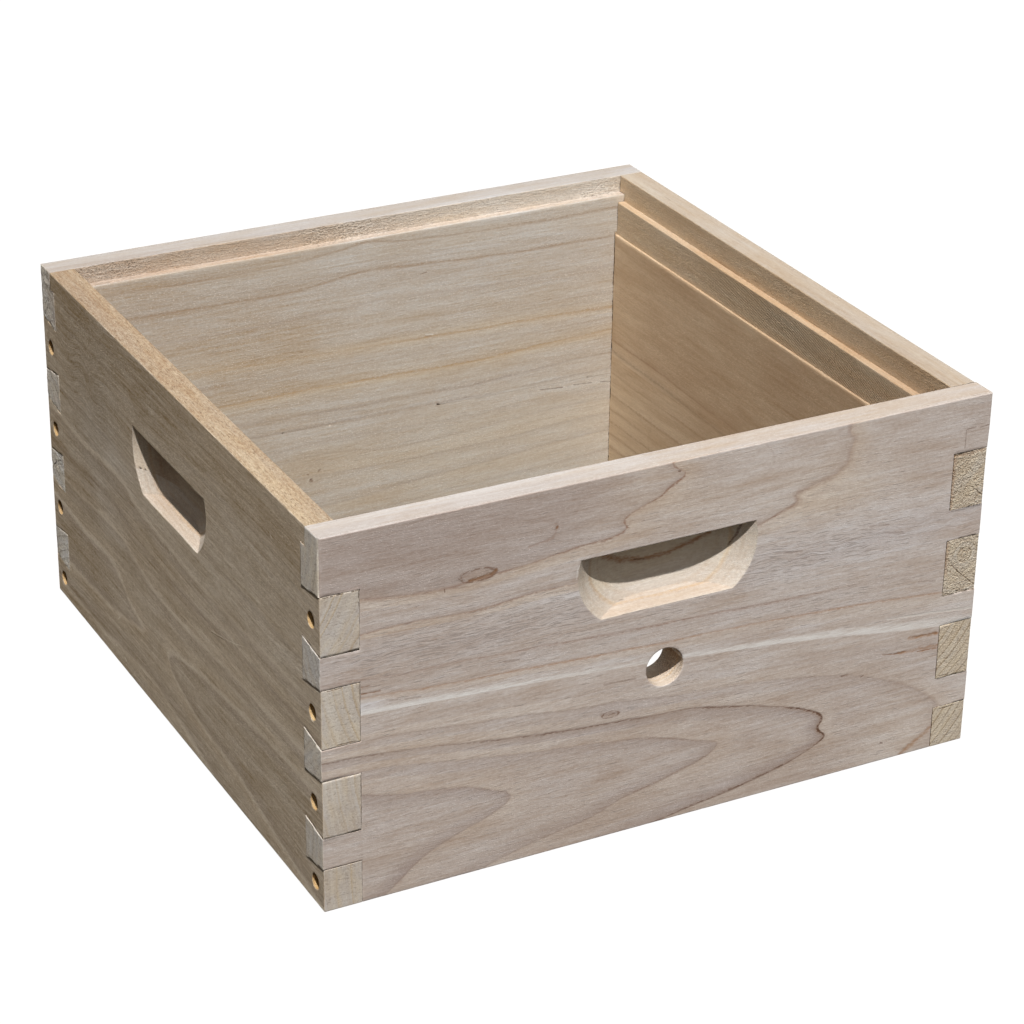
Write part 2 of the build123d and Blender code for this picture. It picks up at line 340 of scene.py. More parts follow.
def cut(bm, axis, at, **kw):
    no = Vector((0, 0, 0))
    no[axis] = 1.0
    bmesh.ops.bisect_plane(bm, geom=bm.verts[:] + bm.edges[:] + bm.faces[:], dist=2e-6,
                           plane_co=no * at * MM, plane_no=no, **kw)


def rough_mesh(board):
    """The node's own mesh, eased and cut into a fine net."""
    bm = bmesh.new()
    bm.from_mesh(NODES[board.node].data)
    bmesh.ops.remove_doubles(bm, verts=bm.verts[:], dist=3e-6)
    bmesh.ops.dissolve_limit(bm, angle_limit=math.radians(0.4), verts=bm.verts[:], edges=bm.edges[:],
                             use_dissolve_boundaries=False)
    layer = bm.edges.layers.float.new("bevel_weight_edge")
    for e in bm.edges:
        if len(e.link_faces) == 2 and e.calc_face_angle_signed() > math.radians(30):
            e[layer] = min(1.0, ease(board, e) / BEVEL)
    me = bpy.data.meshes.new("eased")
    bm.to_mesh(me)
    bm.free()
    ob = bpy.data.objects.new("eased", me)
    SCENE.collection.objects.link(ob)
    mod = ob.modifiers.new("ease", "BEVEL")
    mod.width = BEVEL * MM
    mod.segments = 2
    mod.limit_method = "WEIGHT"
    mod.use_clamp_overlap = False
    mod.loop_slide = False
    bpy.context.view_layer.update()
    done = bpy.data.meshes.new_from_object(ob.evaluated_get(bpy.context.evaluated_depsgraph_get()))
    bpy.data.objects.remove(ob)
    bpy.data.meshes.remove(me)

    bm = bmesh.new()
    bm.from_mesh(done)
    bpy.data.meshes.remove(done)
    lo, hi = (v * 1000.0 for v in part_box(board.node))
    u = 0 if board.end_wall else 1
    w = 1 - u
    ends = [(-230, -203, 1.0), (203, 230, 1.0)]
    if board.wall == "back":
        tops = [(H - 14, H, 0.9)]
    elif board.end_wall:
        tops = [(H - 14, H, 1.1)]
    else:
        tops = [(H - 20, H, 1.2), (H - 45, H - 20, 1.5)]
    for at in steps(lo[w], hi[w], 2.0, [(-230, -226.4, 0.6)] if board.wall == "front" else ()):
        cut(bm, w, at)
    for at in steps(lo[u], hi[u], 2.0, ends):
        cut(bm, u, at)
    # level cuts, a band of the board at a time
    places = steps(lo[2], hi[2], 2.0, tops)
    bands, rest, per = [], bm, 9
    for i in range(per, len(places), per):
        low = rest.copy()
        cut(low, 2, places[i], clear_outer=True)
        cut(rest, 2, places[i], clear_inner=True)
        bands.append((low, places[i - per + (0 if i == per else 1):i]))
    bands.append((rest, places[(len(places) - 1) // per * per + 1:]))
    whole = bmesh.new()
    for part, inner in bands:
        for at in inner:
            cut(part, 2, at)
        tmp = bpy.data.meshes.new("band")
        part.to_mesh(tmp)
        part.free()
        whole.from_mesh(tmp)
        bpy.data.meshes.remove(tmp)
    edges = np.array(places[per::per])
    rim = [v for v in whole.verts if len(edges) and np.abs(edges - v.co.z * 1000.0).min() < 0.004]
    bmesh.ops.remove_doubles(whole, verts=rim, dist=2e-6)
    whole.normal_update()
    return whole


TREES = {
    b.node: BVHTree.FromPolygons([v.co[:] for v in NODES[b.node].data.vertices],
                                 [p.vertices[:] for p in NODES[b.node].data.polygons])
    for b in BOARDS
}


def touching(board, centres, normals):
    """Which faces lie against another board."""
    x, d, _ = board.local(centres)
    may = (np.abs(centres[:, 0]) > HX - T - 0.2) & (np.abs(centres[:, 1]) > HY - T - 0.2)
    may |= np.abs(d - seam_depth(board.wall, x)) < 0.4
    out = np.zeros(len(centres), bool)
    for i in np.nonzero(may)[0]:
        c = Vector(centres[i]) * MM
        for name, tree in TREES.items():
            if name == board.node:
                continue
            hit = tree.find_nearest(c, 0.00006)
            if hit[0] is not None and hit[1].dot(Vector(normals[i])) < -0.7:
                out[i] = True
                break
    return out


# ------------------------------------------------------------------ node helpers
class Tree:
    """Short-hand for building one material's nodes."""

    def __init__(self, name):
        self.mat = bpy.data.materials.new(name)
        self.mat.use_nodes = True
        self.t = self.mat.node_tree
        self.bsdf = self.t.nodes["Principled BSDF"]
        self._cache = {}

    def put(self, sock, val):
        if isinstance(val, bpy.types.NodeSocket):
            self.t.links.new(val, sock)
        elif val is not None:
            sock.default_value = val

    def node(self, kind, **props):
        n = self.t.nodes.new(kind)
        for k, v in props.items():
            setattr(n, k, v)
        return n

    def m(self, op, a, b=None, c=None):
        n = self.node("ShaderNodeMath", operation=op)
        for i, v in enumerate((a, b, c)):
            if v is not None:
                self.put(n.inputs[i], v)
        return n.outputs[0]

    def v(self, op, a, b=None, scale=None, out=0):
        n = self.node("ShaderNodeVectorMath", operation=op)
        self.put(n.inputs[0], a)
        if b is not None:
            self.put(n.inputs[1], b)
        if scale is not None:
            self.put(n.inputs["Scale"], scale)
        return n.outputs[out]

    def add(self, *terms):
        out = terms[0]
        for t in terms[1:]:
            out = self.m("ADD", out, t)
        return out

    def mul(self, *terms):
        out = terms[0]
        for t in terms[1:]:
            out = self.m("MULTIPLY", out, t)
        return out

    def ma(self, a, k, c):
        return self.m("MULTIPLY_ADD", a, k, c)

    def mid(self, n, k=1.0):
        """A noise about zero, times k."""
        return self.m("MULTIPLY_ADD", n, k, -0.5 * k)

    def step(self, x, a, b, lo=0.0, hi=1.0, kind="SMOOTHSTEP"):
        n = self.node("ShaderNodeMapRange", interpolation_type=kind, clamp=True)
        self.put(n.inputs["Value"], x)
        self.put(n.inputs["From Min"], a)
        self.put(n.inputs["From Max"], b)
        self.put(n.inputs["To Min"], lo)
        self.put(n.inputs["To Max"], hi)
        return n.outputs[0]

    def attr(self, name):
        if name not in self._cache:
            self._cache[name] = self.node("ShaderNodeAttribute", attribute_name=name).outputs["Fac"]
        return self._cache[name]

    def xyz(self):
        """Object coordinates in mm, as three sockets."""
        if "xyz" not in self._cache:
            tc = self.node("ShaderNodeTexCoord")
            sc = self.node("ShaderNodeVectorMath", operation="SCALE")
            self.put(sc.inputs[0], tc.outputs["Object"])
            sc.inputs["Scale"].default_value = 1000.0
            sp = self.node("ShaderNodeSeparateXYZ")
            self.put(sp.inputs[0], sc.outputs[0])
            self._cache["xyz"] = (sp.outputs[0], sp.outputs[1], sp.outputs[2])
            self._cache["vec"] = sc.outputs[0]
        return self._cache["xyz"]

    def vec(self, x, y, z):
        n = self.node("ShaderNodeCombineXYZ")
        for i, v in enumerate((x, y, z)):
            self.put(n.inputs[i], v)
        return n.outputs[0]

    def noise(self, vec, scale=1.0, detail=2.0, rough=0.55, dist=0.0):
        n = self.node("ShaderNodeTexNoise", noise_dimensions="3D")
        self.put(n.inputs["Vector"], vec)
        n.inputs["Scale"].default_value = scale
        n.inputs["Detail"].default_value = detail
        n.inputs["Roughness"].default_value = rough
        n.inputs["Distortion"].default_value = dist
        return n.outputs[0]

    def grain(self, p, size, seed, detail=2.0, rough=0.55):
        """Noise of the given size in mm along, across and into the board."""
        k = tuple(1.0 / s for s in size)
        return self.noise(self.v("ADD", self.v("MULTIPLY", p, k), (seed * 1.37, seed * 0.71, seed * 2.19)), 1.0, detail, rough)

    def cells(self, vec, scale=1.0, feature="F1", rand=1.0):
        n = self.node("ShaderNodeTexVoronoi", voronoi_dimensions="3D", feature=feature)
        self.put(n.inputs["Vector"], vec)
        n.inputs["Scale"].default_value = scale
        n.inputs["Randomness"].default_value = rand
        return n.outputs["Distance"]

    def segs(self, flat, items):
        """Least distance to any of the short lines (x0, d0, x1, d1, width), in widths."""
        out = None
        for x0, d0, x1, d1, wd in items:
            ex, ed = x1 - x0, d1 - d0
            ll = max(ex * ex + ed * ed, 1e-6)
            pa = self.v("SUBTRACT", flat, (x0, d0, 0.0))
            h = self.m("MAXIMUM", self.m("MINIMUM", self.v("DOT_PRODUCT", pa, (ex / ll, ed / ll, 0.0), out=1), 1.0), 0.0)
            near = self.v("DISTANCE", pa, self.v("SCALE", (ex, ed, 0.0), scale=h), out=1)
            d = self.m("DIVIDE", near, wd)
            out = d if out is None else self.m("MINIMUM", out, d)
        return out

    def mix(self, fac, a, b, blend="MIX"):
        n = self.node("ShaderNodeMix", data_type="RGBA", blend_type=blend)
        self.put(n.inputs[0], fac)
        self.put(n.inputs[6], rgba(a))
        self.put(n.inputs[7], rgba(b))
        return n.outputs[2]

    def ramp(self, fac, stops, interp="LINEAR"):
        n = self.node("ShaderNodeValToRGB")
        cr = n.color_ramp
        cr.interpolation = interp
        while len(cr.elements) < len(stops):
            cr.elements.new(1.0)
        for e, (p, c) in zip(cr.elements, stops):
            e.position = p
        for e, (p, c) in zip(cr.elements, stops):
            e.color = rgba(c)
        self.put(n.inputs[0], fac)
        return n.outputs[0], n.outputs[1]

    def bump(self, height, dist, strength=1.0, normal=None):
        n = self.node("ShaderNodeBump")
        n.inputs["Strength"].default_value = strength
        n.inputs["Distance"].default_value = dist * MM
        self.put(n.inputs["Height"], height)
        if normal is not None:
            self.put(n.inputs["Normal"], normal)
        return n.outputs[0]


def lin(v):
    v = v / 255.0
    return v / 12.92 if v <= 0.04045 else ((v + 0.055) / 1.055) ** 2.4


def srgb(r, g, b):
    return (lin(r), lin(g), lin(b))


def rgba(c):
    if isinstance(c, bpy.types.NodeSocket):
        return c
    return (*c, 1.0) if len(c) == 3 else tuple(c)


def tint(c, r, g, b):
    return (min(1, c[0] * r), min(1, c[1] * g), min(1, c[2] * b))


# ------------------------------------------------------------------ wood
BROWN = srgb(128, 97, 78)
REDDISH = srgb(142, 102, 80)
DEEP = srgb(108, 79, 62)
ORANGE = srgb(172, 126, 90)
PINK = srgb(158, 134, 119)
OCHRE = srgb(182, 144, 96)
TAN = srgb(170, 140, 104)
PALE_LINE = srgb(176, 164, 146)
PALE_WOOD = (0.82, 0.72, 0.585)
BUFF = srgb(164, 136, 108)


def wood_coords(t, end_wall):
    x, y, z = t.xyz()
    return (x, y, z) if end_wall else (y, x, z)


class Lines:
    """Growth lines by level: colour, strength, shade above and below, warmth above and below."""

    def __init__(self, low, high, default, special, seed, faint=(0.05, 0.18)):
        rng = np.random.default_rng(seed)
        self.low, self.colour, self.sides = low, [], []
        for lv in range(low, high + 1):
            c, a, *rest = special.get(lv, (default, float(rng.uniform(*faint))))
            rest = list(rest) + [0.0] * (4 - len(rest))
            self.colour.append((*c, a))
            self.sides.append(tuple(rest))


def long_grain(name, end_wall, base, lines, *, tone=1.0, hue=1.0, blotch=1.0, streak=1.0, line_w=0.85, line_amt=1.0,
               fleck=0.5, dash=0.3, dash_size=(11.0, 0.85), dash_col=None, pale=(0.85, 0.83, 0.81), warm_w=17.0, shade_w=15.0,
               rough=0.62, bump=0.10, seed=0.0, grit=0.0, grit_size=1.0, ring="ring", ringy=1.0, silver=0.0,
               wide=1.0, gam=(0.74, 1.0, 1.18), ribs=0.0, marks=()):
    """Face of a board: growth lines from the ring attribute, fibres along the grain."""
    t = Tree(name)
    u, w, z = wood_coords(t, end_wall)
    fv = t.attr("fv")
    r0, grad = t.attr(ring), t.attr(ring.replace("ring", "grad"))
    p = t.vec(u, fv, w)
    n_wide = t.grain(p, (70.0, 13.0, 13.0), seed, 2.0)
    n_hue = t.grain(p, (34.0, 4.6, 4.6), seed + 3.1, 3.0, 0.6)
    n_long = t.grain(p, (52.0, 1.5, 1.5), seed + 5.7, 3.0, 0.62)
    n_mid = t.grain(p, (9.0, 0.8, 0.8), seed + 7.3, 2.0, 0.6)
    n_iso = t.grain(p, (2.6, 1.9, 1.9), seed + 9.9, 1.0, 0.5)
    n_fleck = t.grain(p, (1.7, 0.45, 0.45), seed + 15.1, 1.0, 0.5)
    n_wave = t.grain(t.vec(u, z, w), (21.0, 9.0, 9.0), seed + 11.3, 1.0)
    n_jag = t.grain(t.vec(u, z, w), (2.9, 1.5, 1.5), seed + 13.7, 1.0, 0.5)
    # growth lines, a little ragged
    wob = t.mul(t.add(t.mid(n_wave, 1.5), t.mid(n_jag, 1.2), t.mid(n_mid, 0.7)), grad)
    r = t.add(r0, wob)
    near = t.m("ROUND", r)
    s = t.m("SUBTRACT", r, near)
    d = t.m("DIVIDE", t.m("ABSOLUTE", s), grad)
    above = t.m("GREATER_THAN", s, 0.0)
    count = len(lines.colour)
    pick = t.m("DIVIDE", t.add(near, 0.5 - lines.low), float(count))
    col_line, amt_line = t.ramp(pick, [(i / count, c) for i, c in enumerate(lines.colour)], "CONSTANT")
    side, warm_low = t.ramp(pick, [(i / count, c) for i, c in enumerate(lines.sides)], "CONSTANT")
    sp = t.node("ShaderNodeSeparateColor")
    t.put(sp.inputs[0], side)
    dark_up, dark_low, warm_up = sp.outputs[0], sp.outputs[1], sp.outputs[2]

    def either(up, low):
        return t.add(low, t.mul(above, t.m("SUBTRACT", up, low)))

    lstr = t.attr("lstr")
    lean = either(dark_up, dark_low)
    shade_amt = t.mul(lean, t.step(d, 0.0, shade_w, 1.3, 0.0), t.step(n_wide, 0.25, 0.7, 0.6, 1.15), lstr)
    shade_amt = t.add(shade_amt, t.attr("shade"))
    warm_amt = t.mul(either(warm_up, warm_low), t.step(d, 0.3, warm_w, 1.0, 0.0), t.step(n_hue, 0.25, 0.75, 0.45, 1.2))
    # tone along the fibres, and warm or cool drift
    n_ring = t.noise(t.vec(t.m("MULTIPLY", r, 2.3), t.m("DIVIDE", u, 190.0), seed), 1.0, 3.0, 0.65)
    dev = t.add(t.mid(n_wide, 0.28 * blotch * wide), t.mid(n_hue, 0.20 * blotch), t.mid(n_ring, 0.18 * ringy),
                t.mid(n_long, 0.34 * streak), t.mid(n_mid, 0.30 * tone), t.mid(n_iso, 0.20 * tone), t.attr("tone"))
    h = t.add(0.5, t.mid(n_hue, -1.3 * hue), t.mid(n_wide, -1.5 * hue), t.mid(n_long, -1.0 * hue), t.attr("warm"))
    col = t.mix(h, tint(base, 0.985, 1.003, 1.025), tint(base, 1.03, 0.985, 0.89))
    col = t.mix(warm_amt, col, tint(base, 1.05, 0.95, 0.78))
    col = t.mix(shade_amt, col, tint(base, 0.675, 0.612, 0.585))
    # darker fibres are also warmer
    col = t.v("MULTIPLY", col, t.v("ADD", t.v("SCALE", gam, scale=dev), (1.0, 1.0, 1.0)))
    # soft dark dashes, and painted glints: light flecks standing for lit raised fibres
    n_dash = t.grain(p, (*dash_size, dash_size[1]), seed + 17.1, 1.0)
    dense = t.m("ADD", t.attr("dens"), 0.60)
    pore = t.step(n_dash, dense, t.m("ADD", dense, 0.13), 0.0, 1.0)
    col = t.mix(t.mul(pore, dash), col, tint(base, 0.58, 0.56, 0.545) if dash_col is None else dash_col)
    glint = t.mul(t.step(n_fleck, 0.57, 0.72), t.step(n_wide, 0.3, 0.65, 0.45, 1.0))
    col = t.mix(t.mul(glint, fleck), col, tint(base, 1.36, 1.37, 1.38))
    if silver > 0:
        n_thin = t.grain(p, (75.0, 1.0, 1.0), seed + 21.9, 1.0, 0.5)
        col = t.mix(t.mul(t.step(n_thin, 0.60, 0.74), t.step(n_hue, 0.35, 0.6, 0.2, 1.0), silver), col, tint(base, 1.38, 1.36, 1.34))
    # the line itself: soft core, brown edge
    wide = t.mul(t.ma(n_jag, 1.5, 0.25), t.step(n_wide, 0.3, 0.7, 0.75, 1.35), line_w)
    blur = t.attr("blur")
    core = t.step(d, t.mul(wide, 0.1), t.ma(blur, 2.6, t.mul(wide, 1.7)), 1.0, 0.0)
    core = t.mul(core, t.step(n_jag, 0.30, 0.58, 0.55, 1.0), t.ma(blur, -0.45, 1.0))
    halo = t.mul(t.step(d, 0.0, 3.8, 0.34, 0.0), t.ma(lean, 3.2, 0.45))
    fade = t.mul(t.step(n_wide, 0.28, 0.6, 0.5, 1.0), t.step(n_mid, 0.32, 0.58, 0.45, 1.0), lstr, amt_line, line_amt)
    col = t.mix(t.mul(halo, fade), col, t.mix(0.5, col_line, tint(base, 0.98, 0.82, 0.64)))
    col = t.mix(t.mul(core, fade), col, col_line)
    # pale streaks
    side_of = t.add(t.attr("band"), t.mid(n_long, 0.9), t.mid(n_mid, 0.5))
    inside = t.mul(t.step(side_of, -1.9, -0.1), t.step(side_of, 0.65, 1.10, 1.0, 0.0), t.attr("pale"))
    col = t.mix(t.mul(inside, t.step(n_mid, 0.30, 0.62, 0.55, 1.0)), col, pale)
    # knots: a soft brown eye with a darker rim
    kn = t.add(t.attr("knot"), t.mid(n_wave, 0.5), t.mid(n_jag, 0.35))
    eye = t.step(kn, 0.45, 1.05, 0.22, 0.0)
    rim = t.step(t.m("ABSOLUTE", t.m("SUBTRACT", kn, 0.95)), 0.02, 0.20, 0.9, 0.0)
    col = t.mix(eye, col, t.mix(t.step(n_mid, 0.38, 0.60), tint(base, 0.54, 0.36, 0.23), tint(base, 0.88, 0.68, 0.48)))
    col = t.mix(t.mul(rim, t.step(n_jag, 0.35, 0.6, 0.15, 0.85)), col, tint(base, 0.34, 0.22, 0.15))
    # small marks: (colour, strength, softness, lines)
    flat = t.vec(t.add(u, HX) if end_wall else t.m("SUBTRACT", HY, u), t.m("SUBTRACT", H, z), 0.0)
    height = t.add(t.mul(n_mid, 0.9), t.mul(n_iso, 0.5), t.mul(glint, 0.8), t.mul(core, fade, -0.4), t.mul(pore, dash, -0.5))
    for c, amt, soft, items in marks:
        mask = t.step(t.add(t.segs(flat, [tuple(v / 3.2 for v in i[:4]) + (i[4],) for i in items]), t.mid(n_jag, 1.3)),
                      1.0 - soft, 1.0, amt, 0.0)
        mask = t.mul(mask, t.step(n_mid, 0.32, 0.58, 0.45, 1.0))
        col = t.mix(mask, col, c)
        height = t.add(height, t.mul(mask, -0.8))
    # painted shade in the joint gaps
    joint_shade_mask = t.step(t.add(t.attr("joint_shade"), t.mid(n_jag, 0.9), t.mid(n_wave, 0.4)), 0.36, 0.95, 0.0, 0.9)
    col = t.mix(joint_shade_mask, col, (0.062, 0.040, 0.026))
    if grit > 0:
        speck = t.grain(t.vec(u, z, w), (1.15 * grit_size, 0.85 * grit_size, 0.85 * grit_size), seed + 19.3, 2.0, 0.65)
        raw = t.m("MAXIMUM", t.attr("openend"), grit)
        col = t.v("SCALE", col, scale=t.ma(t.mid(speck, 1.5), raw, 1.0))
        # painted shade in the pits of the torn grain
        col = t.mix(t.mul(t.step(speck, 0.42, 0.28), raw, 0.55), col, tint(base, 0.42, 0.33, 0.25))
        height = t.add(height, t.mul(speck, raw, 4.5))
    if ribs > 0:
        # fine slanting marks of a coarse blade
        rib = t.mul(t.m("SINE", t.add(t.mul(u, 4.1), t.mul(z, 2.6), t.mid(n_wave, 5.0))), t.attr("ribs"), ribs)
        col = t.v("SCALE", col, scale=t.ma(rib, 0.10, 1.0))
        height = t.add(height, t.mul(rib, 0.9))
    t.put(t.bsdf.inputs["Base Color"], col)
    t.put(t.bsdf.inputs["Roughness"], t.add(rough, t.mid(n_mid, 0.22), t.mul(pore, 0.08)))
    t.bsdf.inputs["Specular IOR Level"].default_value = 0.28
    t.put(t.bsdf.inputs["Normal"], t.bump(height, bump, 0.9))
    return t.mat


def end_grain(name, end_wall, base, line_col, *, line_amt=0.55, late=0.55, band=1.0, hue=1.0, tone=1.0, rough=0.75, seed=0.0,
              bump=0.2, dark=(0.16, 0.12, 0.085), cell=1.3, pits=0.75, least=0.12, wander=0.30, spread=1.1, gam=(0.8, 1.0, 1.15), out=1,
              circles=(), marks=()):
    """Sawn end of a board: rings round a pith, open pores and torn fibres."""
    t = Tree(name)
    u, w, z = wood_coords(t, end_wall)
    p = t.vec(w, z, seed)
    fuzz = t.attr("fuzz")
    n_big = t.grain(p, (8.0, 8.0, 1.0), 1.0, 2.0)
    n_cell = t.grain(p, (cell, cell, 1.0), 2.0, 2.0, 0.65)
    n_fine = t.grain(p, (0.58 * cell, 0.58 * cell, 1.0), 4.0, 1.0, 0.6)
    n_saw = t.grain(p, (13.0, 1.0, 1.0), 3.0, 2.0, 0.6)
    e = t.add(t.attr("endring"), t.mid(n_big, wander), t.mid(n_cell, 0.14))
    r = t.add(e, t.mid(t.noise(t.vec(t.m("MULTIPLY", e, 0.43), seed, 1.3), 1.0, 1.0), spread))
    f = t.m("FRACT", r)
    which = t.noise(t.vec(t.m("FLOOR", r), seed, 3.7), 7.31, 0.0, 0.5)
    amt = t.step(which, 0.36, 0.64, least, 1.0)
    ring = t.mul(t.m("POWER", t.step(f, 1.0 - late, 0.97), 1.6), t.step(f, 0.955, 1.0, 1.0, 0.0))
    n_band = t.noise(t.vec(t.m("MULTIPLY", r, 2.1), seed, 0.3), 1.0, 2.0, 0.65)
    n_warm = t.noise(t.vec(t.m("MULTIPLY", r, 0.9), t.m("DIVIDE", z, 30.0), seed + 8.0), 1.0, 2.0, 0.6)
    dev = t.add(t.mid(n_big, 0.20 * tone), t.mid(n_saw, 0.16 * tone), t.mid(n_band, 0.42 * band),
                t.mul(t.mid(n_cell, 1.0), t.ma(fuzz, 1.15, 0.16)), t.mul(t.mid(n_fine, 1.0), t.ma(fuzz, 1.0, 0.12)), t.attr("tone"))
    h = t.add(0.5, t.mid(n_warm, 2.2 * hue), t.mid(n_big, 1.0 * hue), t.attr("warm"))
    col = t.mix(h, tint(base, 0.975, 0.995, 1.04), tint(base, 1.03, 0.985, 0.90))
    col = t.mix(t.mul(ring, amt, line_amt), col, line_col)
    flat = t.vec(t.m("SUBTRACT", HX, t.mul(w, float(out))), t.m("SUBTRACT", H, z), 0.0)
    relief = None
    for cx, cd, cr, cw in circles:
        off = t.m("ABSOLUTE", t.m("SUBTRACT", t.v("DISTANCE", flat, (cx, cd, 0.0), out=1), t.ma(n_big, 1.2, cr - 0.6)))
        line = t.step(off, 0.1, cw * 1.6, 0.5, 0.0)
        col = t.mix(t.mul(line, t.step(n_fine, 0.35, 0.6, 0.5, 1.0)), col, line_col)
        relief = line if relief is None else t.add(relief, line)
    for c, amount, soft, items in marks:
        line = t.step(t.add(t.segs(flat, items), t.mid(n_cell, 1.6)), 1.0 - soft, 1.0, amount, 0.0)
        col = t.mix(line, col, c)
        relief = line if relief is None else t.add(relief, line)
    col = t.v("MULTIPLY", col, t.v("ADD", t.v("SCALE", gam, scale=dev), (1.0, 1.0, 1.0)))
    # painted shade darkens the pits of the torn end grain, and painted glints lighten its fibre tips
    pit_shade = t.mul(t.step(n_cell, 0.40, 0.30), t.ma(fuzz, pits, 0.06))
    col = t.mix(pit_shade, col, dark)
    glint = t.mul(t.step(n_fine, 0.60, 0.74), t.ma(fuzz, 0.6, 0.05))
    col = t.mix(glint, col, tint(base, 1.4, 1.42, 1.45))
    split = t.step(t.add(t.attr("crack"), t.mid(n_cell, 0.6), t.mid(n_fine, 0.3)), 0.45, 0.85, 0.0, 0.85)
    col = t.mix(split, col, (0.075, 0.052, 0.035))
    # painted shade in the joint gaps
    joint_shade_mask = t.step(t.add(t.attr("joint_shade"), t.mid(n_cell, 1.0), t.mid(n_big, 0.5)), 0.36, 0.95, 0.0, 0.9)
    col = t.mix(joint_shade_mask, col, (0.062, 0.040, 0.026))
    t.put(t.bsdf.inputs["Base Color"], col)
    t.put(t.bsdf.inputs["Roughness"], t.add(rough, t.mid(n_cell, 0.2)))
    t.bsdf.inputs["Specular IOR Level"].default_value = 0.22
    height = t.add(t.mul(n_cell, t.ma(fuzz, 2.6, 0.4)), t.mul(n_fine, fuzz, 0.8), t.mul(n_saw, 0.4), t.mul(pit_shade, -0.9),
                   t.mul(split, -1.6), t.mul(ring, amt, 0.3))
    if relief is not None:
        height = t.add(height, t.mul(relief, -1.0))
    t.put(t.bsdf.inputs["Normal"], t.bump(height, bump, 0.9))
    return t.mat


def screw_steel():
    t = Tree("screw_steel")
    t.xyz()
    v = t._cache["vec"]
    n1 = t.noise(v, 0.9, 3.0, 0.6)
    n2 = t.noise(v, 6.0, 2.0, 0.6)
    col, _ = t.ramp(n1, [(0.25, (0.34, 0.30, 0.22)), (0.5, (0.52, 0.46, 0.33)), (0.75, (0.60, 0.57, 0.48))])
    spot = t.step(n2, 0.62, 0.75, 0.0, 0.6)
    col = t.mix(spot, col, (0.20, 0.15, 0.09))
    t.put(t.bsdf.inputs["Base Color"], col)
    t.bsdf.inputs["Metallic"].default_value = 1.0
    t.put(t.bsdf.inputs["Roughness"], t.add(0.32, t.mul(n1, 0.2), t.mul(spot, 0.25)))
    t.put(t.bsdf.inputs["Normal"], t.bump(n2, 0.03, 0.5))
    return t.mat


RUST = srgb(150, 108, 74)
# colour, strength, shade above, shade below, warmth above, warmth below
FRONT_L = Lines(-7, 12, PINK, {
    9: (PINK, 0.15), 8: (REDDISH, 0.70, 0.22, 0.0, 0.0, 0.55), 6: (REDDISH, 0.66, 0.16, 0.0, 0.0, 0.60),
    4: (BROWN, 0.12, 0.10, 0.10), 3: (REDDISH, 0.58, 0.08, 0.24), 2: (ORANGE, 0.70, 0.12, 0.0, 0.0, 0.30), 1: (PINK, 0.0),
    0: (PINK, 0.20, 0.0, 0.10), -1: (BROWN, 0.40, 0.0, 0.22, 0.30, 0.0), -2: (DEEP, 0.85, 0.0, 0.38, 0.40, 0.0),
    -3: (BROWN, 0.50, 0.0, 0.44, 0.45, 0.0), -4: (BROWN, 0.34, 0.0, 0.48, 0.50, 0.0)}, 5)
PLAIN_L = Lines(-12, 16, PINK, {}, 6, (0.0, 0.07))
LU_L = Lines(-3, 14, DEEP, {}, 7, (0.05, 0.25))
LL_L = Lines(-3, 8, DEEP, {
    0: (DEEP, 0.25), 1: (PALE_WOOD, 0.85, 0.36, 0.0), 2: (DEEP, 0.30, 0.26, 0.0), 3: (PALE_WOOD, 0.90, 0.34, 0.0, 0.0, 0.3),
    4: (PALE_WOOD, 0.95, 0.40, 0.0, 0.0, 0.4)}, 9)
BU_L = Lines(-3, 14, PINK, {
    1: (BUFF, 0.62, 0.0, 0.10, 0.0, 0.2), 2: (BUFF, 0.66, 0.0, 0.12, 0.0, 0.2), 3: (PINK, 0.25, 0.06, 0.0), 5: (OCHRE, 0.55, 0.0, 0.0, 0.60, 0.55),
    7: (OCHRE, 0.60, 0.0, 0.0, 1.0, 0.25), 8: (BROWN, 0.28, 0.08, 0.06), 9: (BROWN, 0.30, 0.0, 0.06)}, 11)
BL_L = Lines(-3, 8, BROWN, {1: (BROWN, 0.12, 0.1), 2: (BROWN, 0.15, 0.0, 0.1), 3: (BROWN, 0.18, 0.1, 0.0, 0.0, 0.3)}, 13, (0.03, 0.1))
RU_L = Lines(-3, 12, BROWN, {6: (srgb(150, 100, 80), 0.45, 0.0, 0.1), 7: (BROWN, 0.34, 0.1, 0.1)}, 15, (0.02, 0.1))
RL_L = Lines(-3, 13, BROWN, {
    1: (RUST, 0.34, 0.10, 0.1), 2: (RUST, 0.38, 0.12, 0.1), 3: (RUST, 0.40, 0.14, 0.1), 4: (RUST, 0.38, 0.14, 0.1),
    5: (RUST, 0.40, 0.14, 0.1), 6: (RUST, 0.42, 0.14, 0.1)}, 17)
HOLD_L = Lines(-10, 8, TAN, {
    0: (OCHRE, 0.50, 0.0, 0.0, 0.60, 0.12), 1: (TAN, 0.10), 2: (OCHRE, 0.22), 3: (TAN, 0.10), 4: (TAN, 0.16), 5: (TAN, 0.10),
    -1: (TAN, 0.10), -2: (TAN, 0.30), -3: (OCHRE, 0.12)}, 19, (0.03, 0.10))

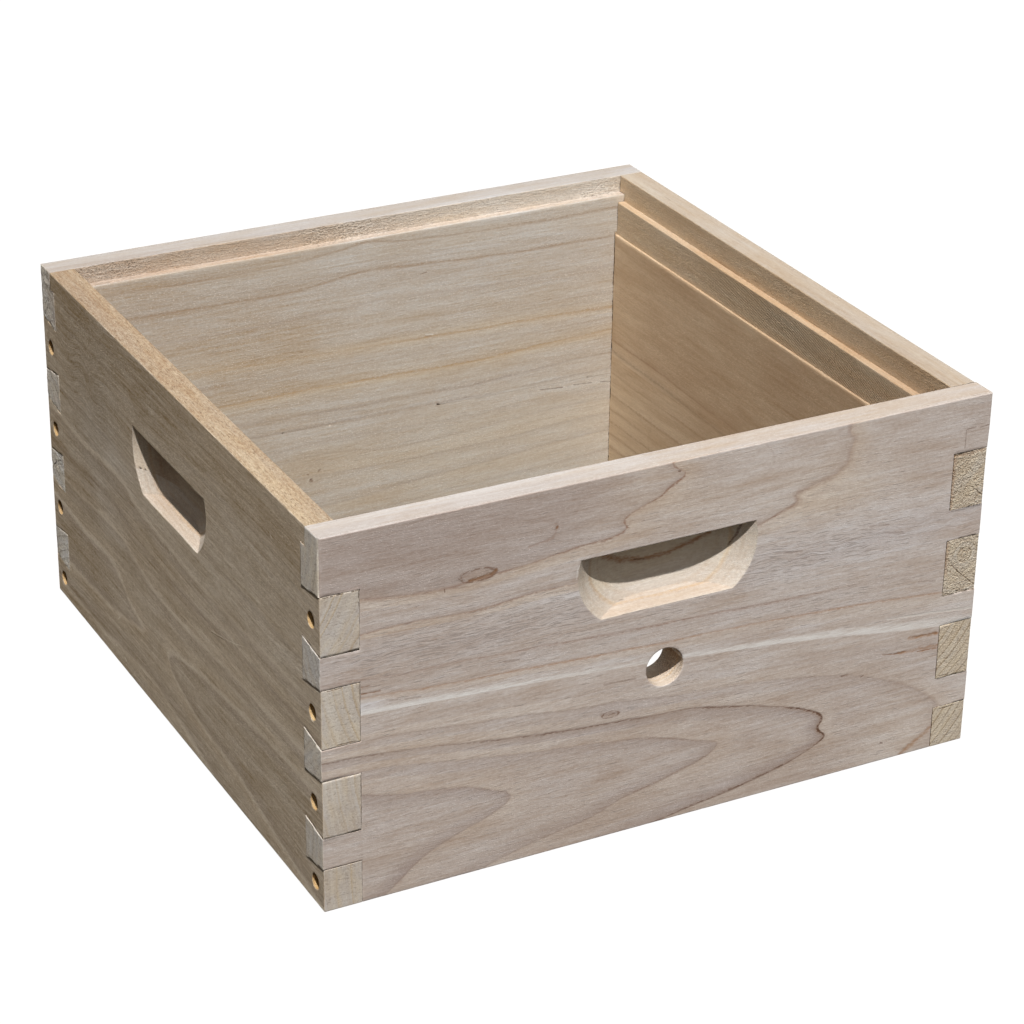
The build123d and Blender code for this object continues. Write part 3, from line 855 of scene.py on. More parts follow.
C_FRONT = (0.612, 0.545, 0.518)
C_FRONT_TOP = (0.515, 0.470, 0.440)
C_LEFT = (0.595, 0.504, 0.400)
C_LEFT_TOP = (0.402, 0.308, 0.220)
C_BACK = (0.588, 0.533, 0.477)
C_BACK_TOP = (0.430, 0.398, 0.383)
C_RIGHT_IN = (0.578, 0.423, 0.285)
# painted light: the right staves' outer face, on the shadow side, is given a paler colour than their inner face
C_RIGHT_OUT = (0.68, 0.59, 0.475)
C_RIGHT_TOP = (0.438, 0.372, 0.310)
C_HOLD = (0.622, 0.555, 0.490)
C_SIDE_HOLD = (0.585, 0.520, 0.462)
C_REBATE = (0.645, 0.570, 0.497)
C_RIGHT_REBATE = (0.583, 0.450, 0.318)
C_TAIL_L = (0.588, 0.534, 0.478)
C_TAIL_R = (0.635, 0.555, 0.452)
C_PIN = (0.745, 0.698, 0.635)
C_LEFT_IN = (0.56, 0.45, 0.33)
C_POCKET = (0.50, 0.35, 0.18)

FRONT_MARKS = [
    (REDDISH, 0.36, 1.0, [(430, 112, 454, 109, 1.3), (454, 109, 480, 104, 1.6), (480, 104, 487, 92, 1.6), (487, 92, 486, 77, 1.6),
                           (272, 163, 304, 167.5, 1.1), (304, 167.5, 332, 163, 1.1), (332, 163, 352, 156, 1.2)]),
    (srgb(140, 102, 70), 0.85, 0.9, [(305, 155, 333, 153, 1.5), (333, 153, 352, 150, 1.9), (352, 150, 361, 145, 2.0), (488, 85, 490, 80, 1.3)]),
    (DEEP, 0.7, 0.7, [(253, 160, 254, 167, 0.55), (1156, 571, 1170, 571, 0.9), (1266, 757, 1270, 758, 0.8),
                      (1280, 757, 1281, 757, 0.55), (750, 22, 752, 22.5, 0.9), (1204, 585, 1210, 582, 0.5), (612, 523, 628, 521, 0.6)]),
    (BROWN, 0.36, 0.9, [(1240, 262, 1282, 271, 1.6), (1010, 272, 1052, 275, 1.1), (1330, 395, 1370, 400, 1.4),
                        (1200, 240, 1245, 244, 1.1), (600, 451, 670, 455, 1.1), (380, 346, 412, 349, 1.1), (980, 250, 1040, 258, 1.2),
                        (140, 369, 162, 372, 1.0), (172, 374, 204, 378, 1.0), (596, 518, 632, 525, 2.2)]),
    (srgb(138, 100, 72), 0.85, 0.95, [(1325, 521, 1350, 523, 0.8), (1350, 523, 1384, 525, 1.2), (1254, 545, 1282, 550, 0.8), (1282, 550, 1312, 551, 1.0),
                        (1340, 559, 1388, 562, 0.7),
                        (82, 341, 120, 343, 0.9), (82, 326, 98, 327, 0.8)]),
    (srgb(166, 124, 88), 0.72, 1.0, [(1296, 551, 1345, 554, 1.7), (1345, 554, 1392, 557, 3.2), (1318, 797, 1390, 752, 3.0), (1318, 522, 1388, 526, 2.0)]),
    (DEEP, 0.55, 0.9, [(1417, 72, 1417, 112, 0.6), (1420, 70, 1440, 69, 0.6), (1451, 72, 1472, 70, 0.6)]),
    # pale marks: a pale streak, and a painted highlight on the torn rim of the hand hold
    ((0.74, 0.70, 0.66), 0.8, 0.6, [(1260, 464, 1344, 472, 0.9), (1344, 472, 1466, 485, 1.1), (545, 170, 535, 182, 0.6), (535, 182, 533, 204, 0.5)]),
]
LEFT_MARKS = [
    # pale marks: splinters and nicks, painted pale as highlights where light catches them
    ((0.86, 0.78, 0.66), 0.8, 0.8, [(935, 450, 1000, 435, 0.45), (1000, 435, 1060, 418, 0.4), (1060, 418, 1102, 403, 0.4),
                                    (716, 367, 728, 379, 0.7), (733, 372, 742, 383, 0.65), (388, 690, 400, 678, 0.65),
                                    (418, 771, 428, 774, 0.7), (584, 610, 588, 611, 0.6), (1234, 680, 1240, 682, 0.8),
                                    (1250, 90, 1258, 96, 0.7), (360, 644, 368, 640, 0.55), (1055, 602, 1063, 599, 0.5)]),
    # dark marks: small dark dots, and painted shadow just below two of the splinters
    (DEEP, 0.7, 0.8, [(935, 454, 1000, 439, 0.45), (783, 78, 788, 82, 0.7), (922, 118, 930, 119, 0.7), (428, 404, 432, 418, 0.7),
                      (362, 649, 370, 646, 0.5), (724, 384, 738, 388, 0.5)]),
]
LEFT_SEAM = [((0.80, 0.72, 0.61), 0.42, 0.95, [(60, 253.4, 530, 258.6, 0.9), (928, 262.9, 1400, 268.0, 0.8)])]
BACK_SEAM = [(BROWN, 0.14, 0.9, [(0, 473.6, 1472, 497.3, 0.7)]),
             (DEEP, 0.6, 0.8, [(1365, 513, 1392, 518, 0.7), (1200, 503, 1260, 508, 0.6), (1290, 507, 1340, 511, 0.5), (598, 614, 599, 618, 1.2)]),
             (BROWN, 0.55, 0.9, [(589, 599, 591, 600, 1.2), (617, 596, 621, 593, 1.3)])]
BACK_MARKS = [((0.80, 0.76, 0.70), 0.8, 0.7, [(895, 302, 912, 305, 0.9), (1260, 217, 1266, 219, 0.6)]),
              (BROWN, 0.55, 0.8, [(575, 287, 582, 289, 0.6), (893, 306, 910, 309, 0.5), (880, 150, 896, 147, 0.6)])]

HOLD_MARKS = [
    (ORANGE, 0.85, 0.97, [(612, 190, 655, 214, 3.4), (655, 214, 703, 225, 3.2), (703, 225, 762, 224, 2.6), (762, 224, 818, 210, 2.4),
                          (818, 210, 850, 194, 2.2)]),
    (DEEP, 0.75, 0.8, [(907, 172, 901, 200, 1.2), (901, 200, 887, 221, 1.0), (690, 222, 712, 226, 0.7)]),
]

# on the sawn ends: (colour, strength, softness, lines), from the outer face and below the rim, in mm
RIGHT_END = [((0.20, 0.13, 0.075), 0.75, 0.8, [(19.5, 117.0, 14.0, 123.0, 0.6), (14.0, 123.0, 1.2, 134.5, 0.6), (9.0, 63.0, 1.0, 70.5, 0.5),
                                                  (25.0, 38.0, 24.8, 56.0, 0.6), (25.0, 62.0, 24.8, 74.0, 0.6), (25.0, 99.0, 24.8, 116.0, 0.6),
                                                  (25.0, 38.6, 14.0, 38.0, 0.6), (14.0, 136.6, 6.0, 137.6, 0.6), (24.0, 137.0, 19.0, 137.2, 0.6)]),
             (ORANGE, 0.34, 0.95, [(24.0, 39.0, 24.0, 76.0, 2.0), (24.0, 100.0, 24.0, 122.0, 2.0), (22.0, 39.6, 2.0, 38.6, 1.6)])]

RIGHT_END_LOW = [((0.20, 0.13, 0.075), 0.7, 0.8, [(25.0, 162.0, 24.8, 176.0, 0.5), (25.0, 182.0, 24.8, 197.0, 0.5), (25.0, 223.0, 24.8, 236.0, 0.6),
                                                      (25.0, 240.0, 24.8, 249.0, 0.6), (22.0, 197.4, 15.0, 197.6, 0.5), (20.0, 222.6, 8.0, 222.4, 0.5)])]
LEFT_END = [((0.11, 0.075, 0.045), 0.85, 0.7, [(2.0, 38.4, 5.0, 38.3, 0.5), (7.0, 38.3, 8.4, 38.3, 0.5), (11.0, 38.2, 15.0, 38.2, 0.5),
                                               (20.0, 38.2, 24.5, 38.1, 0.6), (24.8, 39.0, 24.8, 43.0, 0.5), (24.8, 46.0, 24.8, 49.0, 0.45)])]
LEFT_END_LOW = [((0.22, 0.14, 0.085), 0.7, 0.8, [(24.9, 100.0, 24.9, 112.0, 0.5), (24.9, 116.0, 24.9, 134.0, 0.5), (24.9, 161.0, 24.9, 176.0, 0.55),
                                                 (24.9, 181.0, 24.9, 194.0, 0.5), (4.0, 99.4, 13.0, 99.2, 0.5), (10.0, 136.8, 22.0, 137.0, 0.5)])]

# per board: growth lines, and for each kind of face its colour and settings
HOLD = dict(base=C_HOLD, lines=HOLD_L, dash=0.12, fleck=0.3, ring="cring", grit=0.05, line_w=1.3, warm_w=7.0, hue=0.4, tone=1.3, bump=0.12)
FRONT_HOLD = dict(HOLD, marks=HOLD_MARKS)
SIDE_HOLD = dict(HOLD, base=C_SIDE_HOLD, line_amt=0.9, grit=0.3)
POCKET = dict(base=C_POCKET, lines=PLAIN_L, dash=0.3, grit=0.4)
SETS = {
    "front_board": dict(
        outer=dict(base=C_FRONT, lines=FRONT_L, marks=FRONT_MARKS, hue=0.45, tone=1.5, streak=1.4, blotch=1.35, wide=1.6,
                   fleck=0.42, dash=0.62, bump=0.12, line_w=0.62),
        inner=dict(base=(0.56, 0.48, 0.40), lines=FRONT_L),
        edge=dict(base=C_FRONT_TOP, lines=PLAIN_L, dash=0.15),
        rebate=dict(base=C_REBATE, lines=PLAIN_L, dash=0.15, grit=0.15), hold=FRONT_HOLD,
        bore=dict(HOLD, base=(0.60, 0.52, 0.45), grit=0.2),
        end=dict(base=C_PIN, line_col=(0.40, 0.35, 0.29), line_amt=0.4)),
    "back_upper_stave": dict(
        outer=dict(base=(0.64, 0.565, 0.475), lines=BU_L),
        inner=dict(base=C_BACK, lines=BU_L, marks=BACK_SEAM[:1] + BACK_MARKS, warm_w=8.5, fleck=0.95, hue=0.45, tone=1.45, blotch=0.8,
                   wide=1.2, streak=1.5, ringy=2.4, bump=0.12, gam=(0.66, 1.0, 1.36)),
        edge=dict(base=C_BACK_TOP, lines=PLAIN_L, dash=0.12),
        rebate=dict(base=C_REBATE, lines=PLAIN_L, dash=0.2, grit=0.3, grit_size=1.7, bump=0.4), hold=HOLD, bore=HOLD,
        end=dict(base=C_PIN, line_col=(0.34, 0.30, 0.25), band=0.5)),
    "back_lower_stave": dict(
        outer=dict(base=(0.64, 0.565, 0.475), lines=BL_L), inner=dict(base=C_BACK, lines=BL_L, marks=BACK_SEAM, blotch=0.9, hue=0.5, fleck=0.95, ringy=1.5,
                                                                 wide=1.1, tone=1.35, bump=0.12, gam=(0.66, 1.0, 1.36)),
        edge=dict(base=(0.5, 0.43, 0.35), lines=PLAIN_L), rebate=dict(base=C_REBATE, lines=BL_L),
        hold=HOLD, bore=HOLD, end=dict(base=C_PIN, line_col=(0.34, 0.30, 0.25), band=0.5)),
    "left_upper_stave": dict(
        outer=dict(base=C_LEFT, lines=LU_L, marks=LEFT_MARKS + LEFT_SEAM, streak=2.9, tone=2.5, blotch=2.0, ringy=2.6, silver=0.55,
                   fleck=0.72, dash=0.5, hue=0.4, bump=0.15, line_w=1.1, wide=0.8, gam=(0.83, 1.0, 1.25)),
        inner=dict(base=C_LEFT_IN, lines=LU_L),
        edge=dict(base=C_LEFT_TOP, lines=PLAIN_L, dash=0.85, dash_size=(4.6, 0.62), dash_col=(0.19, 0.12, 0.068), fleck=1.0,
                  tone=3.6, grit=0.55, bump=0.26),
        rebate=dict(base=C_REBATE, lines=PLAIN_L), hold=SIDE_HOLD, bore=POCKET,
        end=dict(base=C_TAIL_L, line_col=(0.50, 0.375, 0.22), line_amt=0.62, late=0.5, marks=LEFT_END)),
    "left_lower_stave": dict(
        outer=dict(base=C_LEFT, lines=LL_L, marks=LEFT_MARKS + LEFT_SEAM, streak=2.9, tone=2.5, blotch=2.0, ringy=2.6, silver=0.55,
                   fleck=0.72, dash=0.5, hue=0.4, bump=0.15, line_w=2.0, wide=0.8, gam=(0.83, 1.0, 1.25)),
        inner=dict(base=C_LEFT_IN, lines=LL_L),
        edge=dict(base=C_LEFT_TOP, lines=PLAIN_L), rebate=dict(base=C_REBATE, lines=PLAIN_L), hold=SIDE_HOLD, bore=POCKET,
        end=dict(base=C_TAIL_L, line_col=(0.50, 0.375, 0.22), line_amt=0.62, late=0.5, marks=LEFT_END_LOW)),
    "right_upper_stave": dict(
        outer=dict(base=C_RIGHT_OUT, lines=RU_L), inner=dict(base=C_RIGHT_IN, lines=RU_L, blotch=1.7, fleck=0.40, dash=0.2,
                                                                  tone=1.0, hue=0.45, ringy=1.6),
        edge=dict(base=C_RIGHT_TOP, lines=PLAIN_L),
        rebate=dict(base=C_RIGHT_REBATE, lines=PLAIN_L, grit=0.28, grit_size=0.9, fleck=0.4, ribs=1.0, bump=0.24), hold=SIDE_HOLD, bore=POCKET,
        end=dict(base=C_TAIL_R, line_col=(0.33, 0.235, 0.14), line_amt=0.45, late=0.24, bump=0.42, cell=1.3, pits=0.36,
                 dark=(0.33, 0.245, 0.16), circles=((10.3, 111.3, 5.1, 0.42), (10.3, 111.3, 2.5, 0.36)), marks=RIGHT_END)),
    "right_lower_stave": dict(
        outer=dict(base=C_RIGHT_OUT, lines=RL_L), inner=dict(base=C_RIGHT_IN, lines=RL_L, blotch=2.2, fleck=0.40, dash=0.2,
                                                                  tone=0.9, hue=0.45, ringy=2.4),
        edge=dict(base=C_RIGHT_TOP, lines=PLAIN_L), rebate=dict(base=C_RIGHT_REBATE, lines=PLAIN_L), hold=SIDE_HOLD, bore=POCKET,
        end=dict(base=C_TAIL_R, line_col=(0.33, 0.235, 0.14), line_amt=0.75, late=0.42, bump=0.30, cell=1.1, pits=0.4, least=0.6,
                 band=1.2, wander=0.16, spread=0.6, dark=(0.28, 0.20, 0.13), marks=RIGHT_END_LOW)),
}
KINDS = ("outer", "inner", "edge", "rebate", "end", "hold", "bore")


def make_board(board):
    bm = rough_mesh(board)
    me = bpy.data.meshes.new(board.node + "_wood")
    bm.to_mesh(me)
    bm.free()
    nv, nf = len(me.vertices), len(me.polygons)
    co = np.empty(nv * 3, np.float32)
    me.vertices.foreach_get("co", co)
    co = co.reshape(-1, 3).astype(float) * 1000.0
    fc, fn = np.empty(nf * 3, np.float32), np.empty(nf * 3, np.float32)
    me.polygons.foreach_get("center", fc)
    me.polygons.foreach_get("normal", fn)
    fc, fn = fc.reshape(-1, 3).astype(float) * 1000.0, fn.reshape(-1, 3).astype(float)
    loops = np.empty(len(me.loops), np.int32)
    me.loops.foreach_get("vertex_index", loops)
    totals = np.empty(nf, np.int32)
    me.polygons.foreach_get("loop_total", totals)
    owner = np.repeat(np.arange(nf), totals)

    # ---- what each face is
    fx, fd, fw = board.local(fc)
    u_ax, w_ax = (0, 1) if board.end_wall else (1, 0)
    out_sign = board.side
    nu, nw, nz = fn[:, u_ax], fn[:, w_ax] * out_sign, fn[:, 2]
    kind = np.zeros(nf, np.int32)
    big = np.argmax(np.abs(np.c_[nu, nw, nz]), axis=1)
    kind[(big == 1) & (fw > 12.5)] = 1
    kind[(big == 2)] = 2
    kind[(big == 0)] = 4
    middle = np.abs(fx - 230) < 90
    hold = middle & (fd > 51.7) & (fd < 96.3) & (fw < 22) & ((fw > 0.35) | (np.abs(nw) < 0.97))
    hold &= ~((fw < 0.02) & (nw > 0.99))
    bore = (board.wall == "front") & (np.hypot(fx - 230, fd - 139) < 14.0) & (np.abs(nw) < 0.6)
    if board.end_wall:
        rebate = (fd < 12.9) & (fw > 18.2) & ~((fw > 24.6) & (fd > 12.4))
    else:
        rebate = (fd < 43.3) & (fw > 17.7) & ~(np.abs(fx - 230) > 229.5)
    pocket = np.zeros(nf, bool)
    if not board.end_wall:
        for hd in HOLES:
            near = np.minimum(np.hypot(fx - 12.5, fd - hd), np.hypot(460 - fx - 12.5, fd - hd)) < 5.3
            pocket |= near & (np.abs(nw) < 0.9) | near & (fw > 0.4) & (fw < 24.6)
    kind[rebate] = 3
    kind[hold] = 5
    kind[bore | pocket] = 6
    contact = touching(board, fc, fn)

    # ---- per vertex shares
    count = np.bincount(loops, minlength=nv).astype(float)

    def share(mask):
        return np.bincount(loops, weights=mask[owner].astype(float), minlength=nv) / count

    normal = np.stack([np.bincount(loops, weights=fn[owner, i], minlength=nv) for i in range(3)], 1) / count[:, None]
    bend = np.linalg.norm(normal, axis=1)
    unit = normal / np.maximum(bend, 1e-6)[:, None]
    s_contact, s_rebate, s_end = share(contact), share(rebate), share(kind == 4)
    X, D, W = board.local(co)
    P = np.c_[X, D, W]
    s = board.seed

    # ---- growth rings
    seen_inner = board.wall in ("back", "right")
    depth = (T - W) if seen_inner else W
    ring0, gx, gd = board.field(X, D)
    ring = ring0 + board.slope * depth

    def on_surface(a, b, c):
        g = np.zeros((nv, 3))
        g[:, u_ax] = a if board.end_wall else -a
        g[:, 2] = -b
        g[:, w_ax] = -out_sign * c
        g -= (g * unit).sum(1)[:, None] * unit
        return np.clip(np.linalg.norm(g, axis=1), 0.012, 0.6)

    grad = on_surface(gx, gd, board.slope * (-1 if seen_inner else 1))
    wave = 1.1 * (vnoise(np.c_[X / 26, D / 22, W / 30], s + 2) - 0.5)
    cring = (W - 7.2 + wave - 1.2 * smooth(0, 60, X - 230)) / 1.85
    cgrad = on_surface(0 * X, 0 * X, 1 / 1.85)

    # ---- fibres bend round the knots
    fv = D + 1.6 * (vnoise(np.c_[X / 70, D / 40, W / 60], s) - 0.5) + 5.0 * (vnoise(np.c_[X / 210, D / 90, W / 90], s + 1) - 0.5)
    knot = np.full(nv, 9.0)
    for kx, kd, ka, kb in board.knots:
        e = np.sqrt(((X - kx) / ka) ** 2 + ((D - kd) / kb) ** 2)
        knot = np.minimum(knot, np.where(W < 14, e, 9.0) if not seen_inner else np.where(W > 11, e, 9.0))
        fv = fv - np.sign(D - kd) * kb * np.exp(-np.abs(D - kd) / (3.0 * kb)) * bell(X, kx, 2.6 * ka)

    tone, warm, pale, joint_shade, crack, dens, fuzz, shade, ribs = (np.zeros(nv) for _ in range(9))
    band = np.full(nv, 9.0)
    blur = np.zeros(nv)
    lstr = np.ones(nv)
    openend = np.clip((np.abs(unit[:, u_ax]) - 0.18) / 0.5, 0, 1)
    patch = 0.25 + 0.75 * smooth(0.42, 0.62, vnoise(np.c_[X / 42.0, D / 15, W / 15], s + 15))
    if board.wall == "back":
        patch = np.clip(patch * 0.7 + 0.9 * bell(X, 208, 30) + 0.6 * bell(X, 45, 30) + 0.7 * bell(X, 425, 14), 0, 1.3)
        openend = np.where(s_rebate > 0.5, np.maximum(openend, 0.55 * patch), openend)

    openend = np.where((D > 52) & (D < 97) & (np.abs(X - 230) < 90) & (W > 0.3) & (W < 22), 0.35 * openend, openend)
    if board.wall == "front":
        face = (W < 13) * 1.0
        mid = np.interp(X, (0, 35, 60, 80, 100, 140, 187, 218, 250, 281, 300, 320, 340, 360, 380, 400, 420, 434, 460),
                        (118.0, 119.8, 121.2, 122.4, 123.7, 126.4, 130.0, 132.8, 135.6, 138.3, 140.0, 142.0, 144.4, 146.7, 150.0, 153.0,
                         155.7, 157.2, 160.0))
        half = np.interp(X, (0, 60, 140, 218, 300, 340, 380, 434), (1.8, 1.7, 1.5, 1.1, 1.8, 2.3, 2.7, 2.8))
        band = (D - mid) / half
        pale += np.interp(X, (20, 100, 150, 210, 260, 300, 340, 434), (1.0, 1.0, 0.8, 0.55, 0.75, 0.85, 0.90, 0.80)) * face
        wedge = smooth(50, 29, X) * smooth(109.6, 111.4, D) * smooth(121.5, 118.5, D) * face
        tone += 0.30 * wedge
        warm -= 0.5 * wedge
        # strength along each line
        blur += bell(ring0, 6, 0.6) * smooth(300, 330, X) + 0.45 * bell(ring0, 8, 0.5) * smooth(140, 40, X)
        blur += 0.5 * (bell(ring0, -2, 0.5) + bell(ring0, -1, 0.5)) * smooth(385, 410, X)
        lstr *= 1 - 0.60 * bell(ring0, 3, 0.5) * smooth(300, 380, X)
        lstr *= 1 - 0.45 * bell(ring0, -1, 0.5) * smooth(180, 260, X) * smooth(340, 300, X)
        lstr *= 1 + 0.18 * bell(ring0, -2, 0.4) * smooth(150, 260, X)
        lstr *= 1 - 0.50 * bell(ring0, -3, 0.5) * smooth(230, 120, X)
        # broad tones
        tone += -0.23 * smooth(7.8, 8.4, ring0) * smooth(235, 150, X) - 0.05 * bell(X, 60, 60) * bell(D, 12, 14)
        tone += -0.04 * smooth(230, 330, X) * smooth(60, 30, D) + 0.05 * bell(X, 370, 70) * bell(D, 85, 28)
        tone += -0.06 * bell(D, 92, 9) * smooth(40, 80, X) * smooth(330, 240, X) + 0.04 * bell(D, 105, 6) * smooth(200, 60, X)
        tone += 0.05 * smooth(370, 410, X) * smooth(190, 205, D) - 0.07 * smooth(150, 175, D)
        tone += -0.07 * smooth(215, 235, D) * smooth(400, 340, X) + 0.07 * bell(X, 305, 26) * bell(D, 42, 12)
        tone += -0.05 * bell(D, 60, 9) * smooth(180, 140, X) - 0.04 * bell(D, 108, 6) * smooth(170, 120, X)
        tone += 0.07 * np.exp(-((X - 265) / 34) ** 2 - ((D - 132) / 9) ** 2)
        tone += -0.08 * np.exp(-((X - 200) / 45) ** 2 - ((D - 158) / 13) ** 2) - 0.09 * np.exp(-((X - 255) / 24) ** 2 - ((D - 16) / 12) ** 2)
        tone += 0.08 * np.exp(-((X - 155) / 20) ** 2 - ((D - 89) / 8) ** 2) + 0.07 * np.exp(-((X - 308) / 20) ** 2 - ((D - 90) / 8) ** 2)
        warm += 0.30 * np.exp(-((X - 350) / 50) ** 2 - ((D - 30) / 26) ** 2) + 0.30 * smooth(200, 235, D) - 0.25 * np.exp(-((X - 290) / 60) ** 2 - ((D - 134) / 12) ** 2)
        warm += 0.15 * smooth(7.8, 8.4, ring0) - 0.28 * bell(D, 84, 14) - 0.15 * bell(X, 370, 70) * bell(D, 85, 28)
        warm += 0.50 * np.exp(-((X - 240) / 42) ** 2 - ((D - 22) / 17) ** 2) + 0.50 * np.exp(-((X - 345) / 36) ** 2 - ((D - 46) / 15) ** 2)
        curl = bell(D, 84, 15) * smooth(0, 30, X) + 0.5 * bell(D, 122, 9) * smooth(300, 340, X)
        dens += -0.12 * curl * smooth(440, 340, X) + 0.05 * smooth(50, 20, D)
        fv = fv + 2.4 * curl * (vnoise(np.c_[X / 9.0, D / 5.0, W / 20], s + 21) - 0.5)
        tone += 0.16 * bell(X, 165, 26) * bell(D, 74, 6) * (vnoise(np.c_[X / 11, D / 2.2, W / 9], s + 22) - 0.35)
        shade = np.clip(-tone / 0.36, 0, 1) * face * np.where(D < 0.4, 0.45 * smooth(16, 8, W), 1.0)
        tone = np.maximum(tone, 0.0)
        land = (D < 0.4) * (W < 20)
        tone -= land * 0.13 * smooth(150, 240, X)
        warm += land * (0.05 - 0.65 * smooth(300, 120, X))
        # painted shade: the upper half of the entrance bore, its shaded side, is made darker and warmer
        bore = (np.hypot(X - 230, D - 139) < 13.8) & (W > 0.8)
        tone = np.where(bore, -0.24 * smooth(143, 134, D), tone)
        warm = np.where(bore, 0.9 * smooth(143, 134, D), warm)
        # strongest near the turns
        tip = np.exp(-((X - 345) / 40) ** 2 - ((D - 212) / 22) ** 2) + np.exp(-((X - 235) / 25) ** 2 - ((D - 15) / 18) ** 2)
        tip += np.exp(-((X - 205) / 22) ** 2 - ((D - 36) / 10) ** 2) + 0.6 * np.exp(-((X - 325) / 25) ** 2 - ((D - 48) / 12) ** 2)
        lstr *= 0.85 + 0.45 * np.clip(tip, 0, 1)
    if board.wall == "left":
        zone = np.exp(-((X - 100) / 45) ** 2 - ((D - 95) / 55) ** 2) * (W < 12)
        warm += -0.7 * zone
        tone += 0.12 * zone * (vnoise(np.c_[X / 14, D / 9, W / 9], s + 3) - 0.3) * 2
        fv = fv + 5.0 * np.exp(-((X - 78) / 34) ** 2 - ((D - 52) / 26) ** 2) * np.sin(X / 9.0)
        fv = fv + 9.0 * (vnoise(np.c_[X / 95.0, D / 60.0, W / 90], s + 23) - 0.5) * (W < 12)
        tone += (-0.08 * smooth(95, 60, D) * smooth(20, 60, X) - 0.10 * smooth(200, 60, X) 
                 - (D > 0.4) * (0.12 * smooth(52, 18, D) + 0.05 * bell(D, 22, 9) * smooth(250, 290, X) + 0.05 * smooth(140, 60, X) * bell(D, 52, 16))
                 + 0.09 * smooth(200, 320, X) * smooth(200, 165, D)) * (W < 12)
        tone += 0.20 * smooth(230, 430, X) * smooth(15, 4, W) * (D < 0.4)
        warm += 0.30 * smooth(40, 20, D) * smooth(200, 320, X) * (W < 12) - 0.35 * bell(X, 105, 55) * smooth(15, 4, W) * (D < 0.4)
        if board.node == "left_lower_stave":
            tone += -0.07 * smooth(3.9, 4.5, ring0)
            warm += 0.25 * bell(ring0, 2, 0.5)
    if board.wall == "back":
        tone += (-0.11 * np.exp(-((X - 140) / 65) ** 2 - ((D - 75) / 38) ** 2) - 0.08 * smooth(120, 60, X) * smooth(60, 40, D)
                 + 0.07 * smooth(250, 300, X) * (smooth(55, 35, D) + 1.2 * smooth(130, 155, D)) + 0.08 * smooth(100, 50, X) * smooth(130, 155, D)
                 - 0.06 * smooth(230, 160, X) * smooth(140, 115, D) - 0.09 * bell(X, 118, 26) * smooth(140, 160, D)) * (W > 12)
        warm += 0.25 * np.exp(-((X - 140) / 65) ** 2 - ((D - 75) / 38) ** 2) + 0.30 * smooth(150, 175, D) * smooth(150, 230, X) + 0.4 * bell(X, 118, 26) * smooth(140, 165, D)
    if board.node == "back_upper_stave":
        warm += 0.35 * bell(ring0, 7, 0.5) + 0.3 * bell(ring0, 5, 0.4) - 0.3 * bell(ring0, 2.2, 0.9)
        lstr *= 1 - 0.5 * bell(ring0, 5, 0.4) * smooth(300, 180, X)
    if board.node == "back_lower_stave":
        warm += 0.9 * np.exp(-(((X - 188) / 20) ** 2 + ((D - 180) / 11) ** 2)) + 0.25 * bell(D, 185, 10)
        tone += -0.09 * np.exp(-(((X - 186) / 20) ** 2 + ((D - 183) / 10) ** 2))
    if board.wall == "right":
        tone += (0.22 * smooth(100, 180, D) * smooth(200, 90, X) + 0.13 * smooth(95, 45, X)
                 - 0.09 * smooth(210, 270, X) * smooth(105, 85, D)) * (W > 12) * (s_rebate < 0.5)
        ribs += smooth(17, 20, D) * smooth(120, 200, X) * smooth(440, 330, X) * (0.4 + 0.8 * vnoise(P / (40.0, 9.0, 20.0), s + 24))
        openend = np.where(s_rebate > 0.5, np.maximum(openend, smooth(220, 330, X) * (0.15 + 0.5 * patch)), openend)
        tone += (s_rebate > 0.5) * (0.10 * smooth(160, 40, X) - 0.10 * smooth(280, 420, X))
    if board.wall == "back":
        # painted shade: the back's up-facing rebate ledge is made darker and less warm, against its bright,
        # bounce-warmed look; the rebate wall is darker towards the left
        flatledge = smooth(0.5, 0.9, unit[:, 2])
        tone += (s_rebate > 0.5) * (-0.07 * flatledge - 0.14 * (1 - flatledge) * smooth(360, 130, X))
        warm += (s_rebate > 0.5) * (-0.35 * flatledge)
    # painted shade: up-facing rebate ledges are made darker against the strong top light
    tone -= 0.17 * smooth(0.5, 0.9, unit[:, 2]) * (s_rebate > 0.5)
    if board.wall != "back":
        deep = (D > 52) & (D < 97) & (np.abs(X - 230) < 90) & (W > 8) & (W < 22)
        inside = deep * smooth(0.4, 0.1, unit[:, 2])
        # painted light: the deep, shaded back wall of the front hand hold is made lighter and warmer, standing in for
        # warm bounce light
        if board.wall == "front":
            tone += 0.18 * inside
            warm += inside * (0.4 + 0.9 * smooth(262, 205, X))
        if board.node == "left_upper_stave":
            # the upper stave's part of the hand hold is browner, warmer wood; painted shade also darkens its deep back
            # near the left end
            scoop = (D > 52) & (np.abs(X - 230) < 90) & (W > 0.3) & (W < 22)
            tone += scoop * (-0.26 * smooth(222, 188, X) * smooth(6, 12, W))
            warm += scoop * (0.55 + 0.75 * smooth(230, 188, X) * smooth(6, 12, W))
        # painted light: the end walls of the left hand hold, facing along the board, are made lighter
        tone += 0.16 * smooth(0.35, 0.6, np.abs(unit[:, u_ax])) * ((D > 52) & (D < 97) & (np.abs(X - 230) < 90) & (W > 0.3)) * (board.wall == "left")
        # painted shade: the up-facing floors of the hand holds are made darker against the strong top light
        tone -= 0.13 * smooth(0.45, 0.8, unit[:, 2]) * ((D > 52) & (D < 96) & (np.abs(X - 230) < 90) & (W > 0.3))
